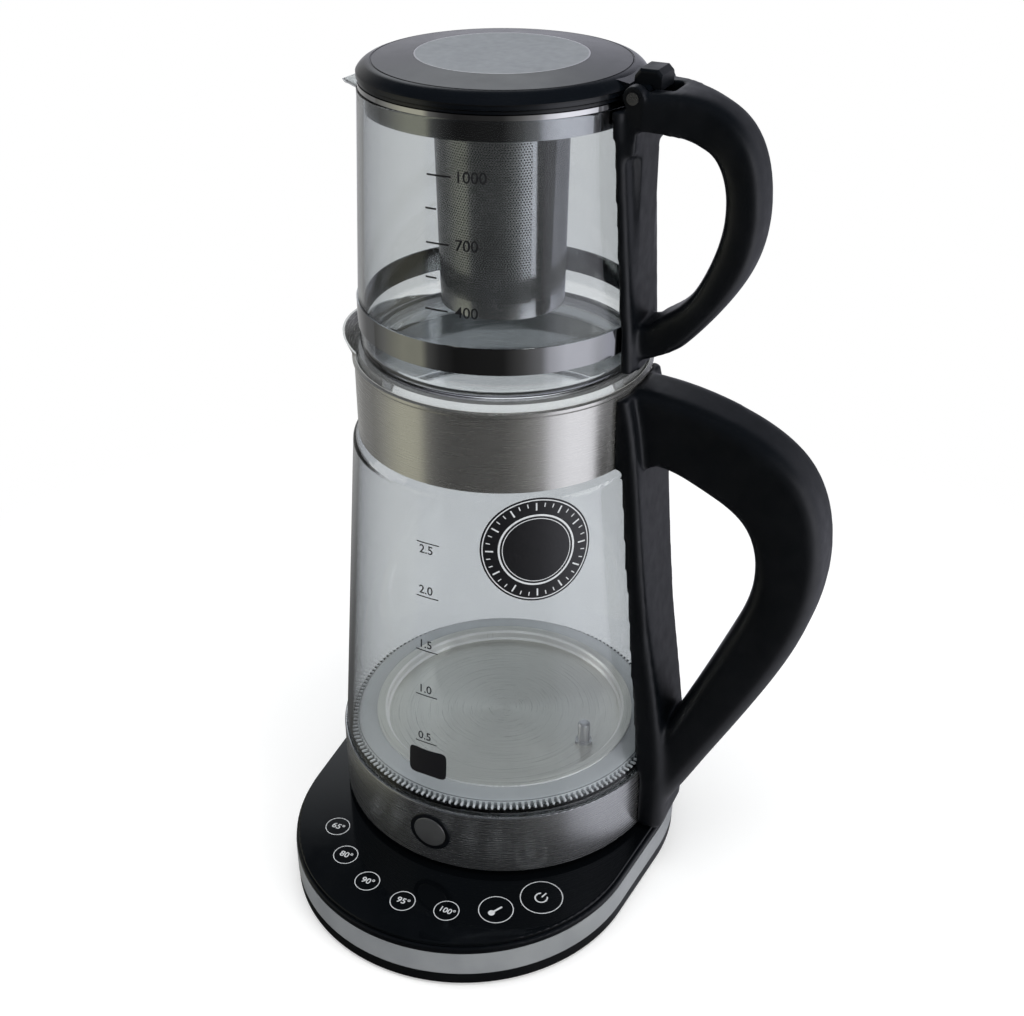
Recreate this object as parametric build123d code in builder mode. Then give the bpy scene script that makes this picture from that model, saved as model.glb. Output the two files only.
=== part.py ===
"""Automatic tea maker: a power base, a glass kettle and a teapot that stands in the kettle's mouth.

Millimetres, +Z up. The origin is on the kettle's axis, at the height of the surface under the feet.
The touch keys face -Y, both handles point to +X and both pouring lips to -X.
"""

import os
from math import cos, radians, sin, sqrt

from build123d import *

os.makedirs("parts", exist_ok=True)

# ---------------------------------------------------------------- driving dimensions
# clearances
running_gap = 0.3  # between faces of bodies that move past each other
seat_gap = 0.15  # between a handle and the body that it wraps

# power base
base_rear_radius = 94.0
base_front_radius = 90.5
base_front_offset = 45.5  # front arc's centre, ahead of the kettle's axis
foot_stand = 1.6
foot_pocket = 1.0
foot_radius = 8.0
foot_inset = 24.0
cover_height = 7.0
cover_floor = 2.2
cover_round = 0.8
cover_inset = 0.2
shell_wall = 2.2
trim_height = 13.2
trim_wall = 1.2
rim_height = 3.2
rim_round = 1.0
rim_inset = 0.3
deck_thickness = 2.2
plate_thickness = 2.4
plate_inset = 1.6
plate_round = 0.8
screw_inset = 9.0
boss_radius = 3.6
screw_radius = 1.5
screw_head_radius = 2.9
screw_head_height = 1.2
screw_length = 12.0
key_count = 7
key_ring_offset = 43.5  # middle of the keys' arc, ahead of the kettle's axis
key_ring_radius = 70.6
key_pitch = 18.8  # degrees between touch keys
board_overlap = 7.0  # degrees of board past the outer keys
board_thickness = 1.6
board_half_width = 9.0
spring_radius = 4.0
spring_height = 8.0
post_radius = 3.0
power_board_length = 58.0
power_board_width = 30.0
power_board_inset = 38.0  # its middle, inside the base's rear
power_post_inset = (5.0, 4.0)
relay_place = -16.0  # from the middle of the power board
transformer_place = 12.0
power_board_height = 5.0  # above the cover's floor
relay_size = (15.0, 19.0, 6.0)
transformer_size = (22.0, 20.0, 7.0)
gland_radius = 4.6
gland_bore = 3.2
gland_flange = 7.0
gland_reach = 6.0
gland_height = 14.5

# round connector
tower_radius = 15.0
tower_height = 11.6  # above the touch plate
tower_body_radius = 18.0
tower_flange_radius = 24.0
tower_flange = 2.0
slot_inner_radius = 9.0
slot_outer_radius = 11.5
slot_depth = 8.5
pin_bore_radius = 2.8
contact_wall = 0.7
socket_wall = 2.8
socket_roof = 4.0
socket_flange_radius = 22.0
socket_flange = 2.0

# kettle
kettle_foot_height = 3.3
cover_plate = 2.4
ring_radius = 86.0
ring_wall = 1.0
ring_height = 35.0
glass_sink = 2.0  # how far the glass stands in the base ring
glass_fit = 0.3
kettle_wall = 2.8
kettle_glass_height = 170.0  # base ring's top to the shoulder
kettle_shoulder_radius = 71.9
glass_flange = 3.5
glass_mouth_radius = 74.0  # hole in the glass's inward flange
gasket_inner_radius = 66.0
gasket_outer_radius = 79.0
gasket_lip = 4.0
pan_radius = 68.3
pan_recess_radius = 63.0
pan_depth = 4.0
pan_wall = 1.0
spreader_radius = 44.0
spreader_thickness = 3.0
element_radius = 36.0
element_width = 8.0
element_height = 7.0
cutout_radius = 8.0
cutout_height = 8.0
cutout_spacing = 28.0
probe_radius = 3.2
probe_height = 12.5
probe_flange_radius = 5.2
probe_flange_height = 1.6
probe_distance = 50.0
probe_angle = -9.0
clamp_ring_height = 3.5
collar_radius = 69.1
collar_wall = 0.9
collar_height = 35.0  # bottom edge to the shelf
collar_rim = 4.2  # shelf to the rolled rim
collar_shelf_width = 7.6  # outside to the shelf's inner edge
neck_height = 27.0
lip_reach = 79.2  # kettle's axis to the lip's nose
lip_centre = 32.0  # kettle's axis to the middle of the lip's round plan
lip_drop = 23.5
lip_rise = 4.4  # nose above the rolled rim
lip_start = 52.0  # kettle's axis to where the lip leaves the rim

# push button
button_radius = 8.6
button_height = 19.0  # above the base ring's lower edge
button_thickness = 2.0
button_travel = 1.5
button_proud = 0.9
bezel_radius = 11.0
bezel_flange_radius = 13.0
stem_radius = 3.4
stem_length = 8.4
coil_wire_radius = 0.5
coil_turns = 3
switch_size = (13.0, 6.0, 7.0)
bracket_plate = 2.0

# kettle handle; an outline is (share of the length, share of the drop) from the collar's side and
# the grip's top
kettle_handle_length = 92.4  # collar's side to the grip's furthest point
kettle_handle_top_width = 46.0
kettle_handle_foot_width = 35.0
kettle_grip_width = 29.0
kettle_strap_round = 4.0
kettle_grip_rise = 1.5  # above the collar's shelf
kettle_grip_foot = 9.5  # above the base ring's lower edge
kettle_handle_foot_drop = 0.8
kettle_back_line = (
    (-0.077, 0.0),
    (0.438, 0.028),
    (0.856, 0.122),
    (1.0, 0.327),
    (0.806, 0.596),
    (0.495, 0.839),
    (0.283, 1.0),
)
kettle_finger_line = (
    (0.107, 0.157),
    (0.367, 0.186),
    (0.588, 0.241),
    (0.668, 0.328),
    (0.578, 0.489),
    (0.306, 0.746),
    (0.237, 0.805),
)
kettle_back_ends = ((1.0, 0.0), (-1.0, 0.733))  # directions at the outline's two ends
kettle_finger_ends = ((1.0, 0.0), (-1.0, 0.848))
kettle_finger_root = (0.064, 0.169)  # inside the strap
kettle_strap_line = ((0.307, 0.981), (0.179, 0.528), (0.098, 0.223), (0.015, 0.006))
kettle_strap_ends = ((0.0, -1.0), (-0.766, -1.0))
handle_screw_offset = 6.0  # outside the base ring
handle_screw_spacing = 16.0
handle_screw_radius = 1.6
handle_screw_length = 15.0
handle_screw_sink = 0.4
grip_round_share = 0.075  # rounding of both grips, as a share of their length
cut_reach = 20.0  # a cutting shape reaches this far past what it cuts
handle_inside = 11.5  # both handles' solids start this far inside the teapot's rim

# teapot
teapot_gap = 0.8  # teapot's underside above the kettle's rolled rim
teapot_inset = 3.3  # inside the collar's outside
teapot_taper = 4.3  # foot to rim
teapot_wall = 2.7
teapot_height = 120.4
teapot_corner = 7.0
teapot_floor = 3.6
teapot_floor_dome = 1.2
band_height = 12.0
band_wall = 0.6
band_place = 15.2  # band's lower edge above the teapot's underside
teapot_rim_height = 4.5
teapot_lip_reach = 78.6
teapot_lip_root_radius = 11.0
teapot_lip_root_drop = 4.0  # rim to the middle of the lip's root
teapot_lip_tip_radius = 3.2
teapot_lip_tip_drop = 5.4
teapot_lip_wall = 1.3
teapot_handle_top_width = 43.0
teapot_handle_foot_width = 36.0
teapot_grip_width = 23.0
teapot_strap_round = 4.0
teapot_handle_length = 57.8  # rim to the grip's furthest point
teapot_grip_rise = 1.8  # above the hinge's axis
teapot_grip_foot = 4.5  # above the teapot's underside
teapot_handle_rise = 20.0  # foot to where the strap's inside stands upright
teapot_strap_top = 1.4  # thickness beside the rim
teapot_strap_foot = 5.0  # thickness beside the foot
teapot_back_line = (
    (0.026, 0.0),
    (0.429, 0.003),
    (0.782, 0.079),
    (1.0, 0.351),
    (0.875, 0.635),
    (0.498, 0.877),
    (-0.026, 1.0),
)
teapot_finger_line = (
    (0.112, 0.123),
    (0.386, 0.141),
    (0.585, 0.189),
    (0.722, 0.361),
    (0.609, 0.601),
    (0.393, 0.751),
    (0.234, 0.809),
    (0.112, 0.826),
)
teapot_back_ends = ((1.0, 0.0), (-1.0, 0.21))
teapot_finger_ends = ((1.0, 0.0), (-1.0, 0.05))
shoulder_start = 4.0  # hinge's axis to where the handle's shoulders begin to narrow
shoulder_end = 29.0
shoulder_depth = 24.0
shoulder_round = 4.0

# infuser
infuser_flange = 2.0
infuser_flange_inset = 0.4  # inside the lid's edge
infuser_skirt_fit = 0.7
infuser_skirt_wall = 1.2
infuser_skirt_depth = 8.8
infuser_web = 1.2
tube_top_radius = 29.6
tube_bottom_radius = 28.2
tube_wall = 0.6
tube_depth = 95.9  # teapot rim to the tube's lower end
cup_height = 7.5
cup_wall = 0.5
rim_roll = 1.2

# lid
lid_inset = 0.1  # inside the teapot's rim
lid_gap = 0.4
lid_edge_height = 6.4
lid_dome = 3.4
lid_wall = 2.4
disc_inset = 24.4  # inside the lid's edge
disc_thickness = 0.8
groove_inset = 6.4
groove_width = 0.8
plug_inset = 7.4
plug_depth = 6.0
plug_wall = 1.6
seal_lip = 1.6  # outside the plug
seal_height = 2.0
hinge_offset = 4.6  # hinge axis outside the lid's edge
hinge_pin_radius = 1.5
hinge_pin_fit = 0.15
barrel_radius = 4.4
barrel_width = 25.0
ear_width = 6.0
lever_width = 15.0
lever_front = 4.0  # hinge's axis to the lever's face towards the lid
lever_reach = 7.5
lever_rise = 9.0
lever_seat = 3.2  # height of the flat under the lever, above the hinge's axis
lever_round = 1.6
hinge_room = 20.0
pot_screw_offset = 3.2  # outside the teapot's foot

# ---------------------------------------------------------------- places worked out from them
power_board_place = base_rear_radius - power_board_inset
collar_shelf_radius = collar_radius - collar_shelf_width
teapot_radius = collar_radius - teapot_inset
teapot_rim_radius = teapot_radius - teapot_taper
lid_radius = teapot_rim_radius - lid_inset
handle_root = teapot_rim_radius - handle_inside
handle_screw_place = ring_radius + handle_screw_offset
pot_screw_place = teapot_radius + pot_screw_offset
disc_radius = lid_radius - disc_inset
groove_radius = lid_radius - groove_inset
plug_radius = lid_radius - plug_inset
seal_radius = plug_radius + seal_lip
infuser_flange_radius = lid_radius - infuser_flange_inset
z_cover = foot_stand
z_cover_floor = z_cover + cover_floor
z_trim = z_cover + cover_height
z_rim = z_trim + trim_height
z_deck = z_rim + rim_height
z_deck_under = z_deck - deck_thickness
z_plate = z_deck + plate_thickness
z_kettle = z_plate + running_gap
z_ring = z_kettle + kettle_foot_height
z_ring_top = z_ring + ring_height
z_glass = z_ring_top - glass_sink
z_shoulder = z_ring_top + kettle_glass_height
z_collar = z_shoulder + 4.0
z_shelf = z_collar + collar_height
z_mouth = z_shelf + collar_rim
z_teapot = z_mouth + teapot_gap
z_band = z_teapot + band_place
z_band_top = z_band + band_height
z_rim_teapot = z_teapot + teapot_height
z_infuser = z_rim_teapot + infuser_flange
z_lid = z_infuser + lid_gap
z_lid_edge = z_lid + lid_edge_height
z_lid_top = z_lid_edge + lid_dome
x_hinge = lid_radius + hinge_offset
z_hinge = z_lid + 2.2
z_button = z_ring + button_height
lever_swing = sqrt(lever_reach**2 + lever_rise**2) + running_gap


def base_outline(inset=0.0):
    """The power base seen from above: two discs and the tangents that join them."""
    rear = base_rear_radius - inset
    front = base_front_radius - inset
    ny = (front - rear) / base_front_offset
    nx = sqrt(1 - ny * ny)
    with BuildSketch() as outline:
        Circle(rear)
        with Locations((0, -base_front_offset)):
            Circle(front)
        Polygon(
            (rear * nx, rear * ny),
            (-rear * nx, rear * ny),
            (-front * nx, front * ny - base_front_offset),
            (front * nx, front * ny - base_front_offset),
            align=None,
        )
    return outline.sketch


def section(*corners):
    """A closed section; each corner is (distance from the axis, height, rounding)."""
    with BuildSketch() as face:
        with BuildLine():
            FilletPolyline(
                *[(corner[0], corner[1]) for corner in corners],
                radius=[corner[2] for corner in corners],
                close=True,
            )
        make_face()
    return face.sketch


def base_corners(inset):
    """Four places near the base's edge: two on the rear arc and two on the front arc."""
    rear = base_rear_radius - inset
    front = base_front_radius - inset
    behind = [(rear * cos(radians(a)), rear * sin(radians(a))) for a in (35, 145)]
    ahead = [
        (front * cos(radians(a)), front * sin(radians(a)) - base_front_offset)
        for a in (-12, -168)
    ]
    return behind + ahead


def key_places():
    """Middles of the touch keys, on an arc ahead of the kettle."""
    first = -90 - key_pitch * (key_count - 1) / 2
    turns = [radians(first + key_pitch * i) for i in range(key_count)]
    return [
        (key_ring_radius * cos(a), key_ring_radius * sin(a) - key_ring_offset) for a in turns
    ]


def placed(line, start, length, top, foot):
    """A handle's outline, from shares of its length and drop to places."""
    return [(start + x * length, top - z * (top - foot)) for x, z in line]


def aimed(shares, start, length, top, foot):
    """A handle's outline at its two ends: directions from shares of its length and drop."""
    return [(x * length, -z * (top - foot)) for x, z in shares]


def lip_disc(height, radius):
    """Plan of the kettle's pouring lip at one height."""
    with BuildSketch(Plane.XY.offset(height)) as disc:
        with Locations((-lip_centre, 0)):
            Circle(radius)
    return disc.sketch


def lip_ring(reach, drop, radius):
    """Cross-section of the teapot's pouring lip, square to the way it points."""
    with BuildSketch(Plane.YZ.offset(-reach)) as ring:
        with Locations((0, z_rim_teapot - drop)):
            Circle(radius)
    return ring.sketch


# ---------------------------------------------------------------- power base
with BuildPart() as base_bottom_cover:
    with BuildSketch(Plane.XY.offset(z_cover)):
        add(base_outline(cover_inset))
    extrude(amount=cover_height)
    fillet(base_bottom_cover.edges().group_by(Axis.Z)[0], radius=cover_round)
    with BuildSketch(Plane.XY.offset(z_cover_floor)):
        add(base_outline(cover_inset + shell_wall))
    extrude(amount=cover_height, mode=Mode.SUBTRACT)
    with BuildSketch(Plane.XY.offset(z_cover_floor)):
        with Locations(*key_places()[::3]):
            Circle(post_radius)
    extrude(amount=z_deck_under - spring_height - board_thickness - z_cover_floor)
    with BuildSketch(Plane.XY.offset(z_cover_floor)):
        with Locations((0, power_board_place)):
            with GridLocations(
                power_board_length - 2 * power_post_inset[0],
                power_board_width - 2 * power_post_inset[1],
                2,
                2,
            ):
                Circle(post_radius)
    extrude(amount=power_board_height)
    with BuildSketch(Plane.XY.offset(z_cover)):
        with Locations(*base_corners(foot_inset)):
            Circle(foot_radius)
    extrude(amount=foot_pocket, mode=Mode.SUBTRACT)
    with BuildSketch(Plane.XY.offset(z_cover)):
        with Locations(*base_corners(screw_inset)):
            Circle(screw_radius + running_gap)
    extrude(amount=cover_floor, mode=Mode.SUBTRACT)
    with BuildSketch(Plane.XY.offset(z_cover)):
        with Locations(*base_corners(screw_inset)):
            Circle(screw_head_radius)
    extrude(amount=screw_head_height, mode=Mode.SUBTRACT)

with BuildPart() as base_feet:
    with BuildSketch(Plane.XY):
        with Locations(*base_corners(foot_inset)):
            Circle(foot_radius)
    extrude(amount=foot_stand + foot_pocket)
    fillet(base_feet.edges().group_by(Axis.Z)[0], radius=0.5)

with BuildPart() as base_screws:
    with BuildSketch(Plane.XY.offset(z_cover)):
        with Locations(*base_corners(screw_inset)):
            Circle(screw_head_radius)
    extrude(amount=screw_head_height)
    with BuildSketch(Plane.XY.offset(z_cover + screw_head_height)):
        with Locations(*base_corners(screw_inset)):
            Circle(screw_radius)
    extrude(amount=screw_length)

with BuildPart() as base_trim_band:
    with BuildSketch(Plane.XY.offset(z_trim)):
        add(base_outline())
        add(base_outline(trim_wall), mode=Mode.SUBTRACT)
    extrude(amount=trim_height)
    with BuildSketch(Plane.XZ.offset(-base_rear_radius - gland_reach)):
        with Locations((0, gland_height)):
            Circle(gland_radius)
    extrude(amount=gland_reach * 2, mode=Mode.SUBTRACT)

with BuildPart() as base_upper_housing:
    with BuildSketch(Plane.XY.offset(z_trim)):
        add(base_outline(trim_wall))
    extrude(amount=trim_height)
    with BuildSketch(Plane.XY.offset(z_rim)):
        add(base_outline(rim_inset))
    extrude(amount=rim_height)
    fillet(base_upper_housing.edges().group_by(Axis.Z)[-1], radius=rim_round)
    with BuildSketch(Plane.XY.offset(z_trim)):
        add(base_outline(trim_wall + shell_wall))
    extrude(amount=z_deck_under - z_trim, mode=Mode.SUBTRACT)
    with BuildSketch(Plane.XY.offset(z_deck_under)):
        Circle(tower_body_radius + running_gap)
    extrude(amount=deck_thickness, mode=Mode.SUBTRACT)
    with BuildSketch(Plane.XY.offset(z_cover_floor)):
        with Locations(*base_corners(screw_inset)):
            Circle(boss_radius)
    extrude(amount=z_deck_under - z_cover_floor)
    with BuildSketch(Plane.XY.offset(z_cover_floor)):
        with Locations(*base_corners(screw_inset)):
            Circle(screw_radius)
    extrude(amount=screw_length, mode=Mode.SUBTRACT)
    with BuildSketch(Plane.XZ.offset(-base_rear_radius - gland_reach)):
        with Locations((0, gland_height)):
            Circle(gland_radius)
    extrude(amount=gland_reach * 2, mode=Mode.SUBTRACT)

with BuildPart() as base_touch_plate:
    with BuildSketch(Plane.XY.offset(z_deck)):
        add(base_outline(plate_inset))
        Circle(tower_body_radius + running_gap, mode=Mode.SUBTRACT)
    extrude(amount=plate_thickness)
    fillet(base_touch_plate.edges().group_by(Axis.Z)[-1].sort_by(SortBy.LENGTH)[1:], radius=plate_round)

with BuildPart() as base_connector:
    with BuildSketch(Plane.XY.offset(z_deck_under - tower_flange)):
        Circle(tower_flange_radius)
    extrude(amount=tower_flange)
    with BuildSketch(Plane.XY.offset(z_deck_under)):
        Circle(tower_body_radius)
    extrude(amount=z_plate - z_deck_under)
    with BuildSketch(Plane.XY.offset(z_plate)):
        Circle(tower_radius)
    extrude(amount=tower_height)
    fillet(base_connector.edges().group_by(Axis.Z)[-1], radius=1.0)
    with BuildSketch(Plane.XY.offset(z_plate + tower_height - slot_depth)):
        Circle(slot_outer_radius)
        Circle(slot_inner_radius, mode=Mode.SUBTRACT)
        Circle(pin_bore_radius)
    extrude(amount=slot_depth, mode=Mode.SUBTRACT)

with BuildPart() as base_contacts:
    with BuildSketch(Plane.XY.offset(z_plate + tower_height - slot_depth)):
        Circle(slot_inner_radius + contact_wall)
        Circle(slot_inner_radius, mode=Mode.SUBTRACT)
    extrude(amount=slot_depth - 1)
    with BuildSketch(Plane.XY.offset(z_plate + tower_height - slot_depth)):
        Circle(pin_bore_radius)
        Circle(pin_bore_radius - contact_wall, mode=Mode.SUBTRACT)
    extrude(amount=slot_depth - 1)

board_half_angle = key_pitch * (key_count - 1) / 2 + board_overlap
board_depth = 2 * key_ring_radius * (1 - cos(radians(board_half_angle)))
z_touch_board = z_deck_under - spring_height - board_thickness
with BuildPart() as touch_board:
    with BuildSketch(Plane.XY.offset(z_touch_board)):
        with Locations((0, -key_ring_offset)):
            Circle(key_ring_radius + board_half_width)
            Circle(key_ring_radius - board_half_width, mode=Mode.SUBTRACT)
            with Locations((0, -key_ring_radius)):
                Rectangle(4 * key_ring_radius, board_depth, mode=Mode.INTERSECT)
    extrude(amount=board_thickness)

with BuildPart() as touch_springs:
    with BuildSketch(Plane.XY.offset(z_touch_board + board_thickness)):
        with Locations(*key_places()):
            Circle(spring_radius)
            Circle(spring_radius - 1, mode=Mode.SUBTRACT)
    extrude(amount=spring_height)

z_power_board = z_cover_floor + power_board_height
with BuildPart() as power_board:
    with BuildSketch(Plane.XY.offset(z_power_board)):
        with Locations((0, power_board_place)):
            Rectangle(power_board_length, power_board_width)
    extrude(amount=board_thickness)

with BuildPart() as relay:
    with BuildSketch(Plane.XY.offset(z_power_board + board_thickness)):
        with Locations((relay_place, power_board_place)):
            RectangleRounded(relay_size[0], relay_size[1], 1)
    extrude(amount=relay_size[2])

with BuildPart() as transformer:
    with BuildSketch(Plane.XY.offset(z_power_board + board_thickness)):
        with Locations((transformer_place, power_board_place)):
            RectangleRounded(transformer_size[0], transformer_size[1], 2)
    extrude(amount=transformer_size[2])

gland_inside = base_rear_radius - trim_wall - shell_wall - 0.5
gland_length = trim_wall + shell_wall + 0.5 + gland_reach
with BuildPart() as cord_gland:
    with BuildSketch(Plane.XZ.offset(-gland_inside)):
        with Locations((0, gland_height)):
            Circle(gland_flange)
    extrude(amount=2)
    with BuildSketch(Plane.XZ.offset(-gland_inside)):
        with Locations((0, gland_height)):
            Circle(gland_radius)
    extrude(amount=-gland_length)
    with BuildSketch(Plane.XZ.offset(-gland_inside + 2)):
        with Locations((0, gland_height)):
            Circle(gland_bore)
    extrude(amount=-(gland_length + 2), mode=Mode.SUBTRACT)

# ---------------------------------------------------------------- kettle's round connector
socket_inner_radius = tower_radius + running_gap + 0.2
socket_outer_radius = socket_inner_radius + socket_wall
z_socket_roof = z_plate + tower_height + running_gap
with BuildPart() as kettle_connector:
    with BuildSketch(Plane.XY.offset(z_kettle + 0.5)):
        Circle(socket_outer_radius)
    extrude(amount=z_socket_roof + socket_roof - z_kettle - 0.5)
    with BuildSketch(Plane.XY.offset(z_kettle)):
        Circle(socket_inner_radius)
    extrude(amount=z_socket_roof - z_kettle, mode=Mode.SUBTRACT)
    with BuildSketch(Plane.XY.offset(z_ring + cover_plate + running_gap)):
        Circle(socket_flange_radius)
        Circle(socket_outer_radius, mode=Mode.SUBTRACT)
    extrude(amount=socket_flange)

with BuildPart() as connector_pins:
    with BuildSketch(Plane.XY.offset(z_socket_roof - slot_depth + 1.5)):
        Circle(slot_outer_radius - 0.5)
        Circle(slot_outer_radius - 0.5 - contact_wall, mode=Mode.SUBTRACT)
        Circle(pin_bore_radius - contact_wall - 0.5)
    extrude(amount=slot_depth - 1.5)

# ---------------------------------------------------------------- kettle, lower half
ring_inner_radius = ring_radius - ring_wall
glass_radius = ring_inner_radius - glass_fit
with BuildPart() as kettle_bottom_cover:
    with BuildSketch(Plane.XY.offset(z_kettle)):
        Circle(ring_radius - 7)
        Circle(ring_radius - 12, mode=Mode.SUBTRACT)
    extrude(amount=kettle_foot_height)
    with BuildSketch(Plane.XY.offset(z_ring)):
        Circle(ring_inner_radius)
        Circle(socket_outer_radius + running_gap, mode=Mode.SUBTRACT)
    extrude(amount=cover_plate)
    with BuildSketch(Plane.XY.offset(z_ring + cover_plate)):
        Circle(ring_inner_radius)
        Circle(ring_inner_radius - shell_wall, mode=Mode.SUBTRACT)
    extrude(amount=4)

with BuildPart() as kettle_base_ring:
    with BuildSketch(Plane.XY.offset(z_ring)):
        Circle(ring_radius)
        Circle(ring_inner_radius, mode=Mode.SUBTRACT)
    extrude(amount=ring_height)
    fillet(kettle_base_ring.edges().group_by(Axis.Z)[-1].sort_by(SortBy.RADIUS)[-1], radius=0.6)
    with BuildSketch(Plane.XZ.offset(ring_inner_radius - 6)):
        with Locations((0, z_button)):
            Circle(bezel_radius)
    extrude(amount=12, mode=Mode.SUBTRACT)

y_button = ring_radius + button_proud  # front face of the button, towards -Y
y_bezel_back = y_button - 8.2
with BuildPart() as button_bezel:
    with BuildSketch(Plane.XZ.offset(y_bezel_back)):
        with Locations((0, z_button)):
            Circle(bezel_radius)
    extrude(amount=y_button - 0.3 - y_bezel_back)
    fillet(button_bezel.edges().group_by(Axis.Y)[0], radius=0.5)
    with BuildSketch(Plane.XZ.offset(ring_inner_radius - 5)):
        with Locations((0, z_button)):
            Circle(bezel_flange_radius)
            Circle(bezel_radius, mode=Mode.SUBTRACT)
    extrude(amount=2.4)
    with BuildSketch(Plane.XZ.offset(y_bezel_back + 1.2)):
        with Locations((0, z_button)):
            Circle(button_radius + running_gap)
    extrude(amount=12, mode=Mode.SUBTRACT)
    with BuildSketch(Plane.XZ.offset(y_bezel_back)):
        with Locations((0, z_button)):
            Circle(stem_radius + running_gap)
    extrude(amount=2, mode=Mode.SUBTRACT)

y_cap_back = y_button - button_thickness
with BuildPart() as button_cap:
    with BuildSketch(Plane.XZ.offset(y_cap_back)):
        with Locations((0, z_button)):
            Circle(button_radius)
    extrude(amount=button_thickness)
    fillet(button_cap.edges().group_by(Axis.Y)[0], radius=0.4)

with BuildPart() as button_stem:
    with BuildSketch(Plane.XZ.offset(y_cap_back - stem_length)):
        with Locations((0, z_button)):
            Circle(stem_radius)
    extrude(amount=stem_length)

coil_radius = stem_radius + running_gap + coil_wire_radius + 0.3
coil_height = y_cap_back - button_travel - running_gap - (y_bezel_back + 1.2) - 2 * coil_wire_radius
coil_start = -(y_bezel_back + 1.2 + coil_wire_radius)
with BuildPart() as button_spring:
    with BuildLine():
        coil = Helix(
            coil_height / coil_turns,
            coil_height,
            coil_radius,
            center=(0, coil_start, z_button),
            direction=(0, -1, 0),
        )
    with BuildSketch(Plane(coil @ 0, z_dir=coil % 0)):
        Circle(coil_wire_radius)
    sweep(path=coil)

y_switch = y_cap_back - stem_length - button_travel - running_gap
with BuildPart() as button_switch:
    with BuildSketch(Plane.XZ.offset(y_switch - switch_size[1])):
        with Locations((0, z_button)):
            RectangleRounded(switch_size[0], switch_size[2], 0.8)
    extrude(amount=switch_size[1])

with BuildPart() as switch_bracket:
    with BuildSketch(Plane.XZ.offset(y_switch - switch_size[1] - bracket_plate)):
        with Locations((0, (z_ring + cover_plate + z_button + switch_size[2] / 2) / 2)):
            Rectangle(switch_size[0] + 4, z_button + switch_size[2] / 2 - z_ring - cover_plate)
    extrude(amount=bracket_plate)
    with BuildSketch(Plane.XY.offset(z_ring + cover_plate)):
        with Locations((0, -y_switch + switch_size[1] + bracket_plate + 4)):
            Rectangle(switch_size[0] + 4, 8)
    extrude(amount=bracket_plate)

z_flange_top = z_glass + glass_flange
z_pan_flange = z_flange_top + gasket_lip
with BuildPart() as clamp_ring:
    with BuildSketch(Plane.XY.offset(z_glass - clamp_ring_height)):
        Circle(glass_mouth_radius + 3)
        Circle(pan_recess_radius + pan_wall, mode=Mode.SUBTRACT)
    extrude(amount=clamp_ring_height)

with BuildPart() as glass_gasket:
    with BuildSketch(Plane.XY.offset(z_glass)):
        Circle(glass_mouth_radius)
        Circle(gasket_inner_radius, mode=Mode.SUBTRACT)
    extrude(amount=glass_flange)
    with BuildSketch(Plane.XY.offset(z_flange_top)):
        Circle(gasket_outer_radius)
        Circle(gasket_inner_radius, mode=Mode.SUBTRACT)
    extrude(amount=gasket_lip)
    fillet(glass_gasket.edges().group_by(Axis.Z)[-1].sort_by(SortBy.RADIUS)[-1], radius=2.0)

neck_radius = collar_radius - collar_wall - glass_fit
with BuildPart() as kettle_glass:
    with BuildSketch(Plane.XZ):
        add(
            section(
                (glass_mouth_radius, z_glass, 0),
                (glass_radius, z_glass, 1.5),
                (glass_radius, z_ring_top, 0),
                (kettle_shoulder_radius, z_shoulder, 3.0),
                (neck_radius, z_collar - glass_fit, 1.5),
                (neck_radius, z_collar + neck_height, 0),
                (neck_radius - kettle_wall, z_collar + neck_height, 0),
                (neck_radius - kettle_wall, z_collar - kettle_wall / 2, 1.5),
                (kettle_shoulder_radius - kettle_wall, z_shoulder - kettle_wall / 2, 2.0),
                (glass_radius - kettle_wall, z_flange_top, 1.0),
                (glass_mouth_radius, z_flange_top, 0),
            )
        )
    revolve(axis=Axis.Z)

with BuildPart() as heating_plate:
    with BuildSketch(Plane.XZ):
        with BuildLine():
            Polyline(
                (0, z_pan_flange - pan_depth),
                (pan_recess_radius - 1.0, z_pan_flange - pan_depth),
                (pan_recess_radius, z_pan_flange - pan_depth + 1.0),
                (pan_recess_radius, z_pan_flange),
                (pan_recess_radius + pan_wall, z_pan_flange + pan_wall),
                (pan_radius, z_pan_flange + pan_wall),
                (pan_radius, z_pan_flange),
                (pan_recess_radius + pan_wall, z_pan_flange),
                (pan_recess_radius + pan_wall, z_pan_flange - pan_depth - pan_wall),
                (0, z_pan_flange - pan_depth - pan_wall),
                close=True,
            )
        make_face()
    revolve(axis=Axis.Z)
    with BuildSketch(Plane.XY.offset(z_pan_flange - pan_depth - pan_wall)):
        with PolarLocations(probe_distance, 1, start_angle=probe_angle):
            Circle(probe_radius)
    extrude(amount=pan_wall, mode=Mode.SUBTRACT)

z_pan_under = z_pan_flange - pan_depth - pan_wall
with BuildPart() as temperature_probe:
    with BuildSketch(Plane.XY.offset(z_pan_under - 6)):
        with PolarLocations(probe_distance, 1, start_angle=probe_angle):
            Circle(probe_radius)
    extrude(amount=6 + pan_wall + probe_height)
    fillet(temperature_probe.edges().group_by(Axis.Z)[-1], radius=1.4)
    with BuildSketch(Plane.XY.offset(z_pan_under + pan_wall)):
        with PolarLocations(probe_distance, 1, start_angle=probe_angle):
            RegularPolygon(probe_flange_radius, 3)
            Circle(probe_flange_radius * 0.8)
    extrude(amount=probe_flange_height)

with BuildPart() as probe_nut:
    with BuildSketch(Plane.XY.offset(z_pan_under - 3.5)):
        with PolarLocations(probe_distance, 1, start_angle=probe_angle):
            RegularPolygon(5.4, 6)
            Circle(probe_radius, mode=Mode.SUBTRACT)
    extrude(amount=3.5)

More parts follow.
